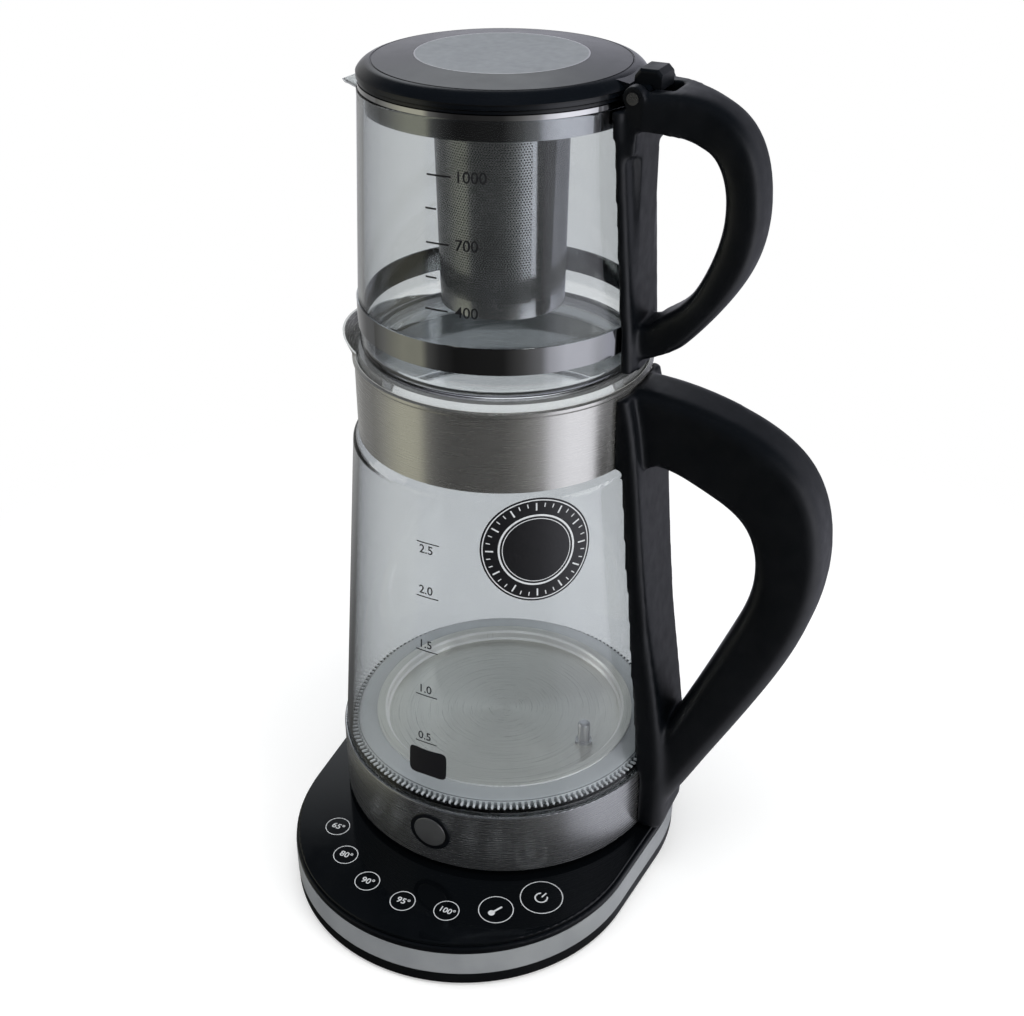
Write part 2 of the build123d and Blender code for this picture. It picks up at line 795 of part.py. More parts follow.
z_spreader = z_pan_under - spreader_thickness
with BuildPart() as heat_spreader:
    with BuildSketch(Plane.XY.offset(z_spreader)):
        Circle(spreader_radius)
    extrude(amount=spreader_thickness)

with BuildPart() as heating_element:
    with BuildSketch(Plane.XZ):
        with Locations((element_radius, z_spreader)):
            Rectangle(element_width, element_height, align=(Align.CENTER, Align.MAX))
    revolve(axis=Axis.Z, revolution_arc=310)

with BuildPart() as thermal_cutouts:
    with BuildSketch(Plane.XY.offset(z_spreader - cutout_height)):
        with GridLocations(cutout_spacing, 1, 2, 1):
            Circle(cutout_radius)
    extrude(amount=cutout_height)
    fillet(thermal_cutouts.edges().group_by(Axis.Z)[0], radius=0.8)

# ---------------------------------------------------------------- kettle, mouth
lip_top = z_mouth + lip_rise
lip_foot_radius = collar_radius - lip_centre
lip_top_radius = lip_reach - lip_centre
with BuildPart() as lip_hollow:
    loft([
        lip_disc(lip_top - lip_drop, lip_foot_radius - collar_wall),
        lip_disc(lip_top, lip_top_radius - collar_wall),
    ])
    extrude(lip_hollow.faces().sort_by(Axis.Z)[-1], amount=lip_rise)

collar_inner_radius = collar_radius - collar_wall
rim_inner_radius = collar_inner_radius - 0.3
with BuildPart() as lip_channel:
    add(lip_hollow.part)
    with BuildSketch(Plane.XY.offset(z_collar)):
        Circle(rim_inner_radius)
    extrude(amount=collar_height + 2 * (collar_rim + lip_rise), mode=Mode.SUBTRACT)

with BuildPart() as kettle_collar:
    loft([
        lip_disc(lip_top - lip_drop, lip_foot_radius),
        lip_disc(lip_top, lip_top_radius),
    ])
    with BuildSketch(Plane.XY.offset(z_collar)):
        Circle(collar_inner_radius)
    extrude(amount=collar_height + 2 * (collar_rim + lip_rise), mode=Mode.SUBTRACT)
    # the lip's edge climbs from the rim to its nose
    with BuildSketch(Plane.XZ):
        Polygon(
            (-lip_start, z_mouth),
            (-lip_reach, lip_top),
            (-lip_reach, lip_top + collar_rim),
            (-lip_start, lip_top + collar_rim),
            align=None,
        )
    extrude(amount=lip_top_radius, both=True, mode=Mode.SUBTRACT)
    with BuildSketch(Plane.XZ):
        with BuildLine():
            Polyline(
                (collar_radius, z_collar),
                (collar_radius, z_mouth - 3.2),
                (collar_radius + 0.9, z_mouth - 2.0),
                (collar_radius + 0.9, z_mouth - 0.6),
                (collar_radius - 0.6, z_mouth),
                (rim_inner_radius, z_mouth - 0.7),
                (rim_inner_radius, z_shelf),
                (collar_shelf_radius, z_shelf),
                (collar_shelf_radius, z_shelf - collar_wall),
                (collar_inner_radius, z_shelf - collar_wall),
                (collar_inner_radius, z_collar),
                close=True,
            )
        make_face()
    revolve(axis=Axis.Z)
    add(lip_channel.part, mode=Mode.SUBTRACT)

with BuildPart() as collar_gasket:
    with BuildSketch(Plane.XY.offset(z_collar + neck_height)):
        Circle(collar_inner_radius)
        Circle(neck_radius - kettle_wall, mode=Mode.SUBTRACT)
    extrude(amount=collar_height - neck_height - collar_wall)
    add(lip_hollow.part, mode=Mode.SUBTRACT)

corner_centre = (teapot_radius - teapot_corner, z_teapot + teapot_corner)
seal_round = teapot_corner + running_gap


def seal_height_at(radius):
    """Height of the mouth seal's top, clear of the teapot's rounded lower edge."""
    return corner_centre[1] - sqrt(seal_round**2 - (radius - corner_centre[0]) ** 2)


with BuildPart() as mouth_seal:
    with BuildSketch(Plane.XZ):
        with BuildLine():
            seal_inner = collar_shelf_radius + 0.4
            seal_crest = corner_centre[0] + 5.6
            inner_top = (seal_inner, seal_height_at(seal_inner))
            crest = (seal_crest, seal_height_at(seal_crest))
            middle = (seal_inner + seal_crest) / 2
            outer_radius = collar_inner_radius - 0.6
            Line((seal_inner, z_shelf), inner_top)
            ThreePointArc(inner_top, (middle, seal_height_at(middle)), crest)
            Polyline(
                crest,
                (outer_radius - 0.8, crest[1] - 0.4),
                (outer_radius, z_mouth - 0.8),
                (outer_radius, z_shelf),
                (seal_inner, z_shelf),
            )
        make_face()
    revolve(axis=Axis.Z)

# ---------------------------------------------------------------- kettle, handle
grip_top = z_shelf + kettle_grip_rise
grip_foot = z_ring + kettle_grip_foot
z_handle_foot = z_ring - kettle_handle_foot_drop
kettle_frame = (collar_radius, kettle_handle_length, grip_top, grip_foot)
with BuildPart() as kettle_grip:
    with BuildSketch(Plane.XZ):
        with BuildLine():
            grip_back = Spline(
                *placed(kettle_back_line, *kettle_frame),
                tangents=aimed(kettle_back_ends, *kettle_frame),
            )
            Polyline(grip_back @ 1, (collar_radius, grip_foot), grip_back @ 0)
        make_face()
        with BuildLine():
            finger_side = Spline(
                *placed(kettle_finger_line, *kettle_frame),
                tangents=aimed(kettle_finger_ends, *kettle_frame),
            )
            Polyline(
                finger_side @ 1, *placed([kettle_finger_root], *kettle_frame), finger_side @ 0
            )
        make_face(mode=Mode.SUBTRACT)
    extrude(amount=kettle_grip_width / 2, both=True)
    kettle_grip_edges = kettle_grip.edges().filter_by(GeomType.BSPLINE)
    fillet(
        kettle_grip_edges.filter_by(lambda e: abs(e.center().Y) > kettle_grip_width / 2 - 0.01),
        radius=grip_round_share * kettle_handle_length,
    )

with BuildPart() as kettle_envelope:
    with BuildSketch(Plane.XZ):
        with BuildLine():
            Polyline(
                (0, 0),
                (ring_radius + seat_gap, 0),
                (ring_radius + seat_gap, z_ring_top + seat_gap),
                (glass_radius + seat_gap, z_ring_top + seat_gap),
                (kettle_shoulder_radius + seat_gap, z_shoulder),
                (kettle_shoulder_radius + seat_gap, z_collar - seat_gap),
                (collar_radius + seat_gap, z_collar - seat_gap),
                (collar_radius + seat_gap, z_mouth - 3.4),
                (collar_radius + 1.1, z_mouth - 2.2),
                (collar_radius + 1.1, z_rim_teapot),
                (0, z_rim_teapot),
                close=True,
            )
        make_face()
    revolve(axis=Axis.Z)

with BuildPart() as kettle_handle:
    with BuildSketch(Plane.XZ):
        with BuildLine():
            strap_face = Spline(
                *placed(kettle_strap_line, *kettle_frame),
                tangents=aimed(kettle_strap_ends, *kettle_frame),
            )
            strap_foot = strap_face @ 0
            Polyline(
                strap_face @ 1,
                (handle_root, grip_top),
                (handle_root, z_handle_foot),
                (strap_foot.X, z_handle_foot),
                strap_foot,
            )
        make_face()
    extrude(amount=kettle_handle_top_width / 2, both=True)
    with BuildSketch(Plane.YZ):
        with BuildLine():
            Polyline(
                (-kettle_handle_foot_width / 2, z_handle_foot),
                (kettle_handle_foot_width / 2, z_handle_foot),
                (kettle_handle_top_width / 2, grip_top),
                (-kettle_handle_top_width / 2, grip_top),
                close=True,
            )
        make_face()
    extrude(amount=2 * ring_radius, mode=Mode.INTERSECT)
    strap_edges = kettle_handle.edges().filter_by(
        lambda e: e.center().X > collar_radius and abs(e.center().Y) > 5 and e.bounding_box().size.Z > 5
    )
    fillet(strap_edges, radius=kettle_strap_round)
    add(kettle_grip.part)
    add(kettle_envelope.part, mode=Mode.SUBTRACT)
    with BuildSketch(Plane.XY.offset(z_handle_foot)):
        with Locations((handle_screw_place, 0)):
            with GridLocations(1, handle_screw_spacing, 1, 2):
                Circle(handle_screw_radius)
    extrude(amount=handle_screw_sink + handle_screw_length, mode=Mode.SUBTRACT)

with BuildPart() as handle_screws:
    with BuildSketch(Plane.XY.offset(z_handle_foot + handle_screw_sink)):
        with Locations((handle_screw_place, 0)):
            with GridLocations(1, handle_screw_spacing, 1, 2):
                Circle(handle_screw_radius)
    extrude(amount=handle_screw_length)

# ---------------------------------------------------------------- teapot
lip_root = teapot_rim_radius - 6
lip_tip = teapot_lip_reach - teapot_lip_tip_radius
lip_tip_place = Location((-lip_tip, 0, z_rim_teapot - teapot_lip_tip_drop))
with BuildPart() as teapot_lip_hollow:
    loft([
        lip_ring(lip_root, teapot_lip_root_drop, teapot_lip_root_radius - teapot_lip_wall),
        lip_ring(lip_tip, teapot_lip_tip_drop, teapot_lip_tip_radius - teapot_lip_wall),
    ])
    with Locations(lip_tip_place):
        Sphere(teapot_lip_tip_radius - teapot_lip_wall)

taper_top = z_rim_teapot - teapot_rim_height
with BuildPart() as teapot_glass:
    with BuildSketch(Plane.XZ):
        add(
            section(
                (0, z_teapot, 0),
                (teapot_radius, z_teapot, teapot_corner),
                (teapot_radius, z_band_top, 0),
                (teapot_rim_radius, taper_top, 0),
                (teapot_rim_radius, z_rim_teapot, 1.0),
                (teapot_rim_radius - teapot_wall, z_rim_teapot, 1.0),
                (teapot_rim_radius - teapot_wall, taper_top, 0),
                (teapot_radius - teapot_wall, z_band_top, 0),
                (teapot_radius - teapot_wall, z_teapot + teapot_floor, teapot_corner - teapot_wall),
                (0, z_teapot + teapot_floor + teapot_floor_dome, 0),
            )
        )
    revolve(axis=Axis.Z)
    loft([
        lip_ring(lip_root, teapot_lip_root_drop, teapot_lip_root_radius),
        lip_ring(lip_tip, teapot_lip_tip_drop, teapot_lip_tip_radius),
    ])
    with Locations(lip_tip_place):
        Sphere(teapot_lip_tip_radius)
    # the lip is open above a line that falls from the rim to the nose
    with BuildSketch(Plane.XZ):
        with BuildLine():
            lip_edge = Line(
                (-teapot_rim_radius, z_rim_teapot),
                (-lip_tip, z_rim_teapot - teapot_lip_tip_drop),
            )
            Polyline(
                lip_edge @ 1,
                lip_edge @ 1.5,
                (-teapot_lip_reach, z_lid_top),
                (0, z_lid_top),
                (0, z_rim_teapot),
                lip_edge @ 0,
            )
        make_face()
    extrude(amount=teapot_lip_root_radius, both=True, mode=Mode.SUBTRACT)
    with BuildSketch(Plane.XY.offset(z_band_top)):
        Circle(teapot_rim_radius - teapot_wall)
    extrude(amount=z_rim_teapot - z_band_top, mode=Mode.SUBTRACT)
    add(teapot_lip_hollow.part, mode=Mode.SUBTRACT)

with BuildPart() as teapot_band:
    with BuildSketch(Plane.XY.offset(z_band)):
        Circle(teapot_radius + band_wall)
        Circle(teapot_radius, mode=Mode.SUBTRACT)
    extrude(amount=band_height)

# ---------------------------------------------------------------- teapot, handle
pot_grip_top = z_hinge + teapot_grip_rise
pot_grip_foot = z_teapot + teapot_grip_foot
pot_frame = (teapot_rim_radius, teapot_handle_length, pot_grip_top, pot_grip_foot)
pot_root = teapot_rim_radius - teapot_wall
with BuildSketch(Plane.XZ) as pot_grip_face:
    with BuildLine():
        pot_back = Spline(
            *placed(teapot_back_line, *pot_frame), tangents=aimed(teapot_back_ends, *pot_frame)
        )
        Polyline(pot_back @ 1, (pot_root, pot_grip_foot + teapot_handle_rise), pot_back @ 0)
    make_face()
    with BuildLine():
        pot_finger_side = Spline(
            *placed(teapot_finger_line, *pot_frame), tangents=aimed(teapot_finger_ends, *pot_frame)
        )
        Polyline(pot_finger_side @ 1, pot_finger_side @ 0)
    make_face(mode=Mode.SUBTRACT)

with BuildPart() as teapot_grip:
    extrude(pot_grip_face.sketch, amount=teapot_grip_width / 2, both=True)
    teapot_grip_edges = teapot_grip.edges().filter_by(GeomType.BSPLINE)
    fillet(
        teapot_grip_edges.filter_by(lambda e: abs(e.center().Y) > teapot_grip_width / 2 - 0.01),
        radius=grip_round_share * teapot_handle_length,
    )

ear_inner = barrel_width / 2 + running_gap
ear_outer = ear_inner + ear_width
with BuildPart() as teapot_shoulder:
    extrude(pot_grip_face.sketch, amount=ear_outer, both=True)
    with BuildSketch(Plane.XY.offset(z_hinge - shoulder_depth)):
        with BuildLine():
            Polyline(
                (pot_root, ear_outer),
                (x_hinge + shoulder_start, ear_outer),
                (x_hinge + shoulder_end, teapot_grip_width / 2),
                (x_hinge + shoulder_end, -teapot_grip_width / 2),
                (x_hinge + shoulder_start, -ear_outer),
                (pot_root, -ear_outer),
                close=True,
            )
        make_face()
    extrude(amount=shoulder_depth + hinge_room, mode=Mode.INTERSECT)
    shoulder_edges = teapot_shoulder.edges().filter_by(
        lambda e: abs(e.center().Y) > teapot_grip_width / 2 + 0.5
        and e.bounding_box().size.X > 2
        and e.center().Z > z_hinge - shoulder_depth / 2
    )
    fillet(shoulder_edges.filter_by(lambda e: e.center().Z > z_hinge - 6), radius=shoulder_round)

band_radius = teapot_radius + band_wall
with BuildPart() as teapot_envelope:
    with BuildSketch(Plane.XZ):
        with BuildLine():
            Polyline(
                (0, z_teapot - cut_reach),
                (band_radius + seat_gap, z_teapot - cut_reach),
                (band_radius + seat_gap, z_band_top + seat_gap),
                (teapot_radius + seat_gap, z_band_top + seat_gap),
                (teapot_rim_radius + seat_gap, taper_top),
                (teapot_rim_radius + seat_gap, z_rim_teapot + seat_gap),
                (infuser_flange_radius + seat_gap, z_rim_teapot + seat_gap),
                (infuser_flange_radius + seat_gap, z_lid - 0.1),
                (lid_radius + running_gap, z_lid - 0.1),
                (lid_radius + running_gap, z_lid_top + cut_reach),
                (0, z_lid_top + cut_reach),
                close=True,
            )
        make_face()
    revolve(axis=Axis.Z)

with BuildPart() as teapot_handle:
    with BuildSketch(Plane.XZ):
        with BuildLine():
            Polyline(
                (teapot_radius + teapot_strap_foot, pot_grip_foot),
                (teapot_rim_radius + teapot_strap_top, z_hinge - barrel_radius - 1),
                (handle_root, z_hinge - barrel_radius - 1),
                (handle_root, pot_grip_foot),
                close=True,
            )
        make_face()
    extrude(amount=teapot_handle_top_width / 2, both=True)
    with BuildSketch(Plane.YZ):
        with BuildLine():
            Polyline(
                (-teapot_handle_foot_width / 2, pot_grip_foot),
                (teapot_handle_foot_width / 2, pot_grip_foot),
                (teapot_handle_top_width / 2, z_hinge),
                (-teapot_handle_top_width / 2, z_hinge),
                close=True,
            )
        make_face()
    extrude(amount=2 * teapot_radius, mode=Mode.INTERSECT)
    pot_strap_edges = teapot_handle.edges().filter_by(
        lambda e: e.center().X > handle_root + 1 and abs(e.center().Y) > 5 and e.bounding_box().size.Z > 5
    )
    fillet(pot_strap_edges, radius=teapot_strap_round)
    add(teapot_grip.part)
    add(teapot_shoulder.part)
    # ears that carry the hinge pin
    with BuildSketch(Plane.XZ):
        with Locations((x_hinge, z_hinge)):
            Circle(barrel_radius + 0.3)
    extrude(amount=ear_outer, both=True)
    # room for the lid's barrel between the ears, and for the lever's swing
    with BuildSketch(Plane.XZ):
        with Locations((x_hinge, z_hinge)):
            Circle(barrel_radius + running_gap + 0.2)
        with BuildLine():
            Polyline(
                (handle_root, z_hinge - barrel_radius - 0.5),
                (x_hinge, z_hinge - barrel_radius - 0.5),
                (x_hinge + barrel_radius + 0.5, z_hinge),
                (x_hinge + barrel_radius + 0.5, z_hinge + hinge_room),
                (handle_root, z_hinge + hinge_room),
                close=True,
            )
        make_face()
    extrude(amount=ear_inner, both=True, mode=Mode.SUBTRACT)
    with BuildSketch(Plane.XZ):
        with BuildLine():
            Polyline(
                (x_hinge - 2, z_hinge - lever_reach - 0.6),
                (x_hinge + 2.5, z_hinge - lever_reach - 0.6),
                (x_hinge + lever_swing - 1, z_hinge - 0.7 * lever_rise),
                (x_hinge + lever_swing, z_hinge - 2),
                (x_hinge + lever_swing, z_hinge + hinge_room),
                (x_hinge - 2, z_hinge + hinge_room),
                close=True,
            )
        make_face()
    extrude(amount=lever_width / 2 + running_gap + 0.2, both=True, mode=Mode.SUBTRACT)
    add(teapot_envelope.part, mode=Mode.SUBTRACT)
    with BuildSketch(Plane.XZ):
        with Locations((x_hinge, z_hinge)):
            Circle(hinge_pin_radius)
    extrude(amount=ear_outer, both=True, mode=Mode.SUBTRACT)
    with BuildSketch(Plane.XY.offset(pot_grip_foot)):
        with Locations((pot_screw_place, 0)):
            Circle(screw_radius)
    extrude(amount=screw_length, mode=Mode.SUBTRACT)

with BuildPart() as teapot_handle_screw:
    with BuildSketch(Plane.XY.offset(pot_grip_foot + 0.4)):
        with Locations((pot_screw_place, 0)):
            Circle(screw_radius)
    extrude(amount=screw_length - 0.4)

with BuildPart() as hinge_pin:
    with BuildSketch(Plane.XZ):
        with Locations((x_hinge, z_hinge)):
            Circle(hinge_pin_radius)
    extrude(amount=ear_outer, both=True)
    with BuildSketch(Plane.XZ.offset(ear_outer)):
        with Locations((x_hinge, z_hinge)):
            Circle(hinge_pin_radius + 1)
    extrude(amount=0.8)

# ---------------------------------------------------------------- infuser
skirt_radius = teapot_rim_radius - teapot_wall - infuser_skirt_fit
z_web = z_rim_teapot - infuser_skirt_depth
with BuildPart() as infuser_collar:
    with BuildSketch(Plane.XZ):
        with BuildLine():
            Polyline(
                (infuser_flange_radius, z_rim_teapot),
                (infuser_flange_radius, z_infuser),
                (skirt_radius - infuser_skirt_wall, z_infuser),
                (skirt_radius - infuser_skirt_wall, z_web + infuser_web),
                (tube_top_radius, z_web + infuser_web),
                (tube_top_radius, z_web),
                (skirt_radius, z_web),
                (skirt_radius, z_rim_teapot),
                close=True,
            )
        make_face()
    revolve(axis=Axis.Z)
    # slots that let the tea reach the pouring lip
    with BuildSketch(Plane.YZ.offset(-infuser_flange_radius)):
        with GridLocations(3.4, 1, 5, 1):
            with Locations((0, z_web + 4.6)):
                Rectangle(1.8, 5.0)
    extrude(amount=8, mode=Mode.SUBTRACT)

z_tube = z_rim_teapot - tube_depth
with BuildPart() as infuser_tube:
    with BuildSketch(Plane.XZ):
        with BuildLine():
            Polyline(
                (tube_bottom_radius, z_tube),
                (tube_top_radius, z_web),
                (tube_top_radius, z_web + infuser_web),
                (tube_top_radius - tube_wall, z_web + infuser_web),
                (tube_top_radius - tube_wall, z_web),
                (tube_bottom_radius - tube_wall, z_tube),
                close=True,
            )
        make_face()
    revolve(axis=Axis.Z)

with BuildPart() as infuser_rim:
    with BuildSketch(Plane.XY.offset(z_web + infuser_web)):
        Circle(tube_top_radius + 3)
        Circle(tube_top_radius - tube_wall, mode=Mode.SUBTRACT)
    extrude(amount=rim_roll)

with BuildPart() as infuser_cup:
    with BuildSketch(Plane.XZ):
        with BuildLine():
            Polyline(
                (0, z_tube + 0.6),
                (tube_bottom_radius - tube_wall - cup_wall, z_tube + 0.6),
                (tube_bottom_radius - tube_wall - cup_wall, z_tube + cup_height),
                (tube_bottom_radius - tube_wall, z_tube + cup_height),
                (tube_bottom_radius - tube_wall, z_tube),
                (0, z_tube),
                close=True,
            )
        make_face()
    revolve(axis=Axis.Z)

# ---------------------------------------------------------------- lid
z_groove = z_lid_edge + lid_dome * 0.45
with BuildPart() as lid_shell:
    with BuildSketch(Plane.XZ):
        with BuildLine():
            Polyline(
                (0, z_lid_top),
                (disc_radius, z_lid_top),
                (groove_radius, z_groove),
            )
            ThreePointArc(
                (groove_radius, z_groove),
                (lid_radius - 2.2, z_lid_edge - 0.2),
                (lid_radius, z_lid_edge - 2.6),
            )
            Polyline(
                (lid_radius, z_lid_edge - 2.6),
                (lid_radius, z_lid + 1.8),
                (lid_radius - 0.7, z_lid + 1.2),
                (lid_radius - 0.7, z_lid),
                (plug_radius - 3, z_lid),
                (plug_radius - 3, z_lid_edge - 1.4),
                (0, z_lid_top - lid_wall),
                (0, z_lid_top),
            )
        make_face()
    revolve(axis=Axis.Z)
    with BuildSketch(Plane.XY.offset(z_lid_top - disc_thickness)):
        Circle(disc_radius)
    extrude(amount=disc_thickness + 1, mode=Mode.SUBTRACT)
    with BuildSketch(Plane.XZ):
        with Locations((groove_radius, z_groove)):
            Circle(groove_width / 2)
    revolve(axis=Axis.Z, mode=Mode.SUBTRACT)
    # neck and barrel of the hinge
    with BuildSketch(Plane.XZ):
        with Locations((x_hinge, z_hinge)):
            Circle(barrel_radius)
        with BuildLine():
            Polyline(
                (lid_radius - 6, z_lid + 1.8),
                (x_hinge, z_hinge - barrel_radius + 1.2),
                (x_hinge, z_hinge + lever_seat),
                (lid_radius - 6, z_lid_edge + 1.0),
                close=True,
            )
        make_face()
    extrude(amount=barrel_width / 2, both=True)
    with BuildSketch(Plane.XZ):
        with Locations((x_hinge, z_hinge)):
            Circle(hinge_pin_radius + hinge_pin_fit)
    extrude(amount=barrel_width, both=True, mode=Mode.SUBTRACT)
    with BuildSketch(Plane.XZ):
        with Locations((x_hinge - lever_front, z_hinge + lever_seat)):
            Rectangle(hinge_room, hinge_room, align=(Align.MIN, Align.MIN))
    extrude(amount=barrel_width, both=True, mode=Mode.SUBTRACT)

with BuildPart() as lid_disc:
    with BuildSketch(Plane.XY.offset(z_lid_top - disc_thickness)):
        Circle(disc_radius - 0.2)
    extrude(amount=disc_thickness)
    fillet(lid_disc.edges().group_by(Axis.Z)[-1], radius=0.3)

with BuildPart() as lid_inner_cover:
    with BuildSketch(Plane.XZ):
        with BuildLine():
            Polyline(
                (0, z_lid - plug_depth),
                (plug_radius - 1.2, z_lid - plug_depth),
                (plug_radius, z_lid - plug_depth + 1.2),
                (plug_radius, z_lid),
                (plug_radius - 3 - seat_gap, z_lid),
                (plug_radius - 3 - seat_gap, z_lid + 3),
                (plug_radius - 3 - seat_gap - plug_wall, z_lid + 3),
                (plug_radius - 3 - seat_gap - plug_wall, z_lid - plug_depth + plug_wall),
                (0, z_lid - plug_depth + plug_wall),
                close=True,
            )
        make_face()
    revolve(axis=Axis.Z)

with BuildPart() as lid_seal:
    with BuildSketch(Plane.XY.offset(z_lid - 1 - seal_height)):
        Circle(seal_radius)
        Circle(plug_radius, mode=Mode.SUBTRACT)
    extrude(amount=seal_height)
    fillet(lid_seal.edges().filter_by(GeomType.CIRCLE).sort_by(SortBy.RADIUS)[-2:], radius=0.6)

with BuildPart() as thumb_lever:
    with BuildSketch(Plane.XZ):
        with BuildLine():
            Polyline(
                (x_hinge - lever_front, z_hinge + lever_seat),
                (x_hinge - lever_front, z_hinge + lever_rise - 2.5),
                (x_hinge - lever_front + 2, z_hinge + lever_rise),
                (x_hinge + lever_reach - 2, z_hinge + lever_rise),
                (x_hinge + lever_reach, z_hinge + lever_rise - 2),
                (x_hinge + lever_reach, z_hinge + 1),
                (x_hinge + lever_reach - 2.5, z_hinge + 1),
                (x_hinge + barrel_radius - 0.8, z_hinge + lever_seat),
                close=True,
            )
        make_face()
    extrude(amount=lever_width / 2, both=True)
    fillet(
        thumb_lever.edges().filter_by(
            lambda e: abs(e.center().Y) > lever_width / 2 - 0.01 and e.center().Z > z_hinge + 5
        ),
        radius=lever_round,
    )

# ---------------------------------------------------------------- files
pieces = {
    "base_bottom_cover": base_bottom_cover,
    "base_feet": base_feet,
    "base_screws": base_screws,
    "base_trim_band": base_trim_band,
    "base_upper_housing": base_upper_housing,
    "base_touch_plate": base_touch_plate,
    "base_connector": base_connector,
    "base_contacts": base_contacts,
    "touch_board": touch_board,
    "touch_springs": touch_springs,
    "power_board": power_board,
    "relay": relay,
    "transformer": transformer,
    "cord_gland": cord_gland,
    "kettle_connector": kettle_connector,
    "connector_pins": connector_pins,
    "kettle_bottom_cover": kettle_bottom_cover,
    "kettle_base_ring": kettle_base_ring,
    "button_bezel": button_bezel,
    "button_cap": button_cap,
    "button_stem": button_stem,
    "button_spring": button_spring,
    "button_switch": button_switch,
    "switch_bracket": switch_bracket,
    "clamp_ring": clamp_ring,
    "glass_gasket": glass_gasket,
    "kettle_glass": kettle_glass,
    "heating_plate": heating_plate,
    "temperature_probe": temperature_probe,
    "probe_nut": probe_nut,
    "heat_spreader": heat_spreader,
    "heating_element": heating_element,
    "thermal_cutouts": thermal_cutouts,
    "kettle_collar": kettle_collar,
    "collar_gasket": collar_gasket,
    "mouth_seal": mouth_seal,
    "kettle_handle": kettle_handle,
    "handle_screws": handle_screws,
    "teapot_glass": teapot_glass,
    "teapot_band": teapot_band,
    "teapot_handle": teapot_handle,
    "teapot_handle_screw": teapot_handle_screw,
    "hinge_pin": hinge_pin,
    "infuser_collar": infuser_collar,
    "infuser_tube": infuser_tube,
    "infuser_rim": infuser_rim,
    "infuser_cup": infuser_cup,
    "lid_shell": lid_shell,
    "lid_disc": lid_disc,
    "lid_inner_cover": lid_inner_cover,
    "lid_seal": lid_seal,
    "thumb_lever": thumb_lever,
}
for node, piece in pieces.items():
    piece.part.label = node
    export_step(piece.part, f"parts/{node}.step")
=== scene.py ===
"""Looks of the tea maker: finishes for every solid, glass, printed marks and a plain studio."""

import bpy
from math import atan2, cos, pi, radians, sin, sqrt, tau
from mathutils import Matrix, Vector


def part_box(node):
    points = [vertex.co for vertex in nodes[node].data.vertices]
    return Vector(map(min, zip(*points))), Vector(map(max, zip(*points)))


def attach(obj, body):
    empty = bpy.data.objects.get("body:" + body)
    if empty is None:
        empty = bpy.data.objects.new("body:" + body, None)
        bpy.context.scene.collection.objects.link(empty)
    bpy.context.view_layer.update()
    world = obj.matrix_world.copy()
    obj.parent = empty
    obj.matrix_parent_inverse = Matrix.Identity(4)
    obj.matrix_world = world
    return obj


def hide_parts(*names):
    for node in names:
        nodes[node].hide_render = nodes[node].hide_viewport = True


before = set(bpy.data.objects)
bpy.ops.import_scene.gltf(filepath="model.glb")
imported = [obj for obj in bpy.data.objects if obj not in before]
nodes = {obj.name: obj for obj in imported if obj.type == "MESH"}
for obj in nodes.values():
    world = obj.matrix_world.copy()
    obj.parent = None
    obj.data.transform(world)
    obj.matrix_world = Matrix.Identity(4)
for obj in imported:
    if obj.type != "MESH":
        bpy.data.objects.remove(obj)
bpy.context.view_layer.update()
scene = bpy.context.scene
scene.view_settings.view_transform = "Standard"

MM = 0.001

# ribs that stand in a ring on the seal under the kettle's glass
RIB_COUNT = 168
RIB_SIZE = (2.8, 1.1, 1.3)  # outwards, round the ring, up
RIB_RADIUS = 80.1
RIB_HEIGHT = 68.9

# ---------------------------------------------------------------- camera
EYE = Vector((0.2627, -0.5434, 0.5491))
LOOK = Vector((-0.36875, 0.77750, -0.50942))
LENS = 49.68
SENSOR = 36.0
SHIFT = -0.00086

camera_data = bpy.data.cameras.new("camera")
camera_data.sensor_fit = "HORIZONTAL"
camera_data.sensor_width = SENSOR
camera_data.lens = LENS
camera_data.shift_x = SHIFT
camera_data.clip_start = 0.01
camera = bpy.data.objects.new("camera", camera_data)
scene.collection.objects.link(camera)
camera.location = EYE
camera.rotation_euler = LOOK.to_track_quat("-Z", "Y").to_euler()
scene.camera = camera


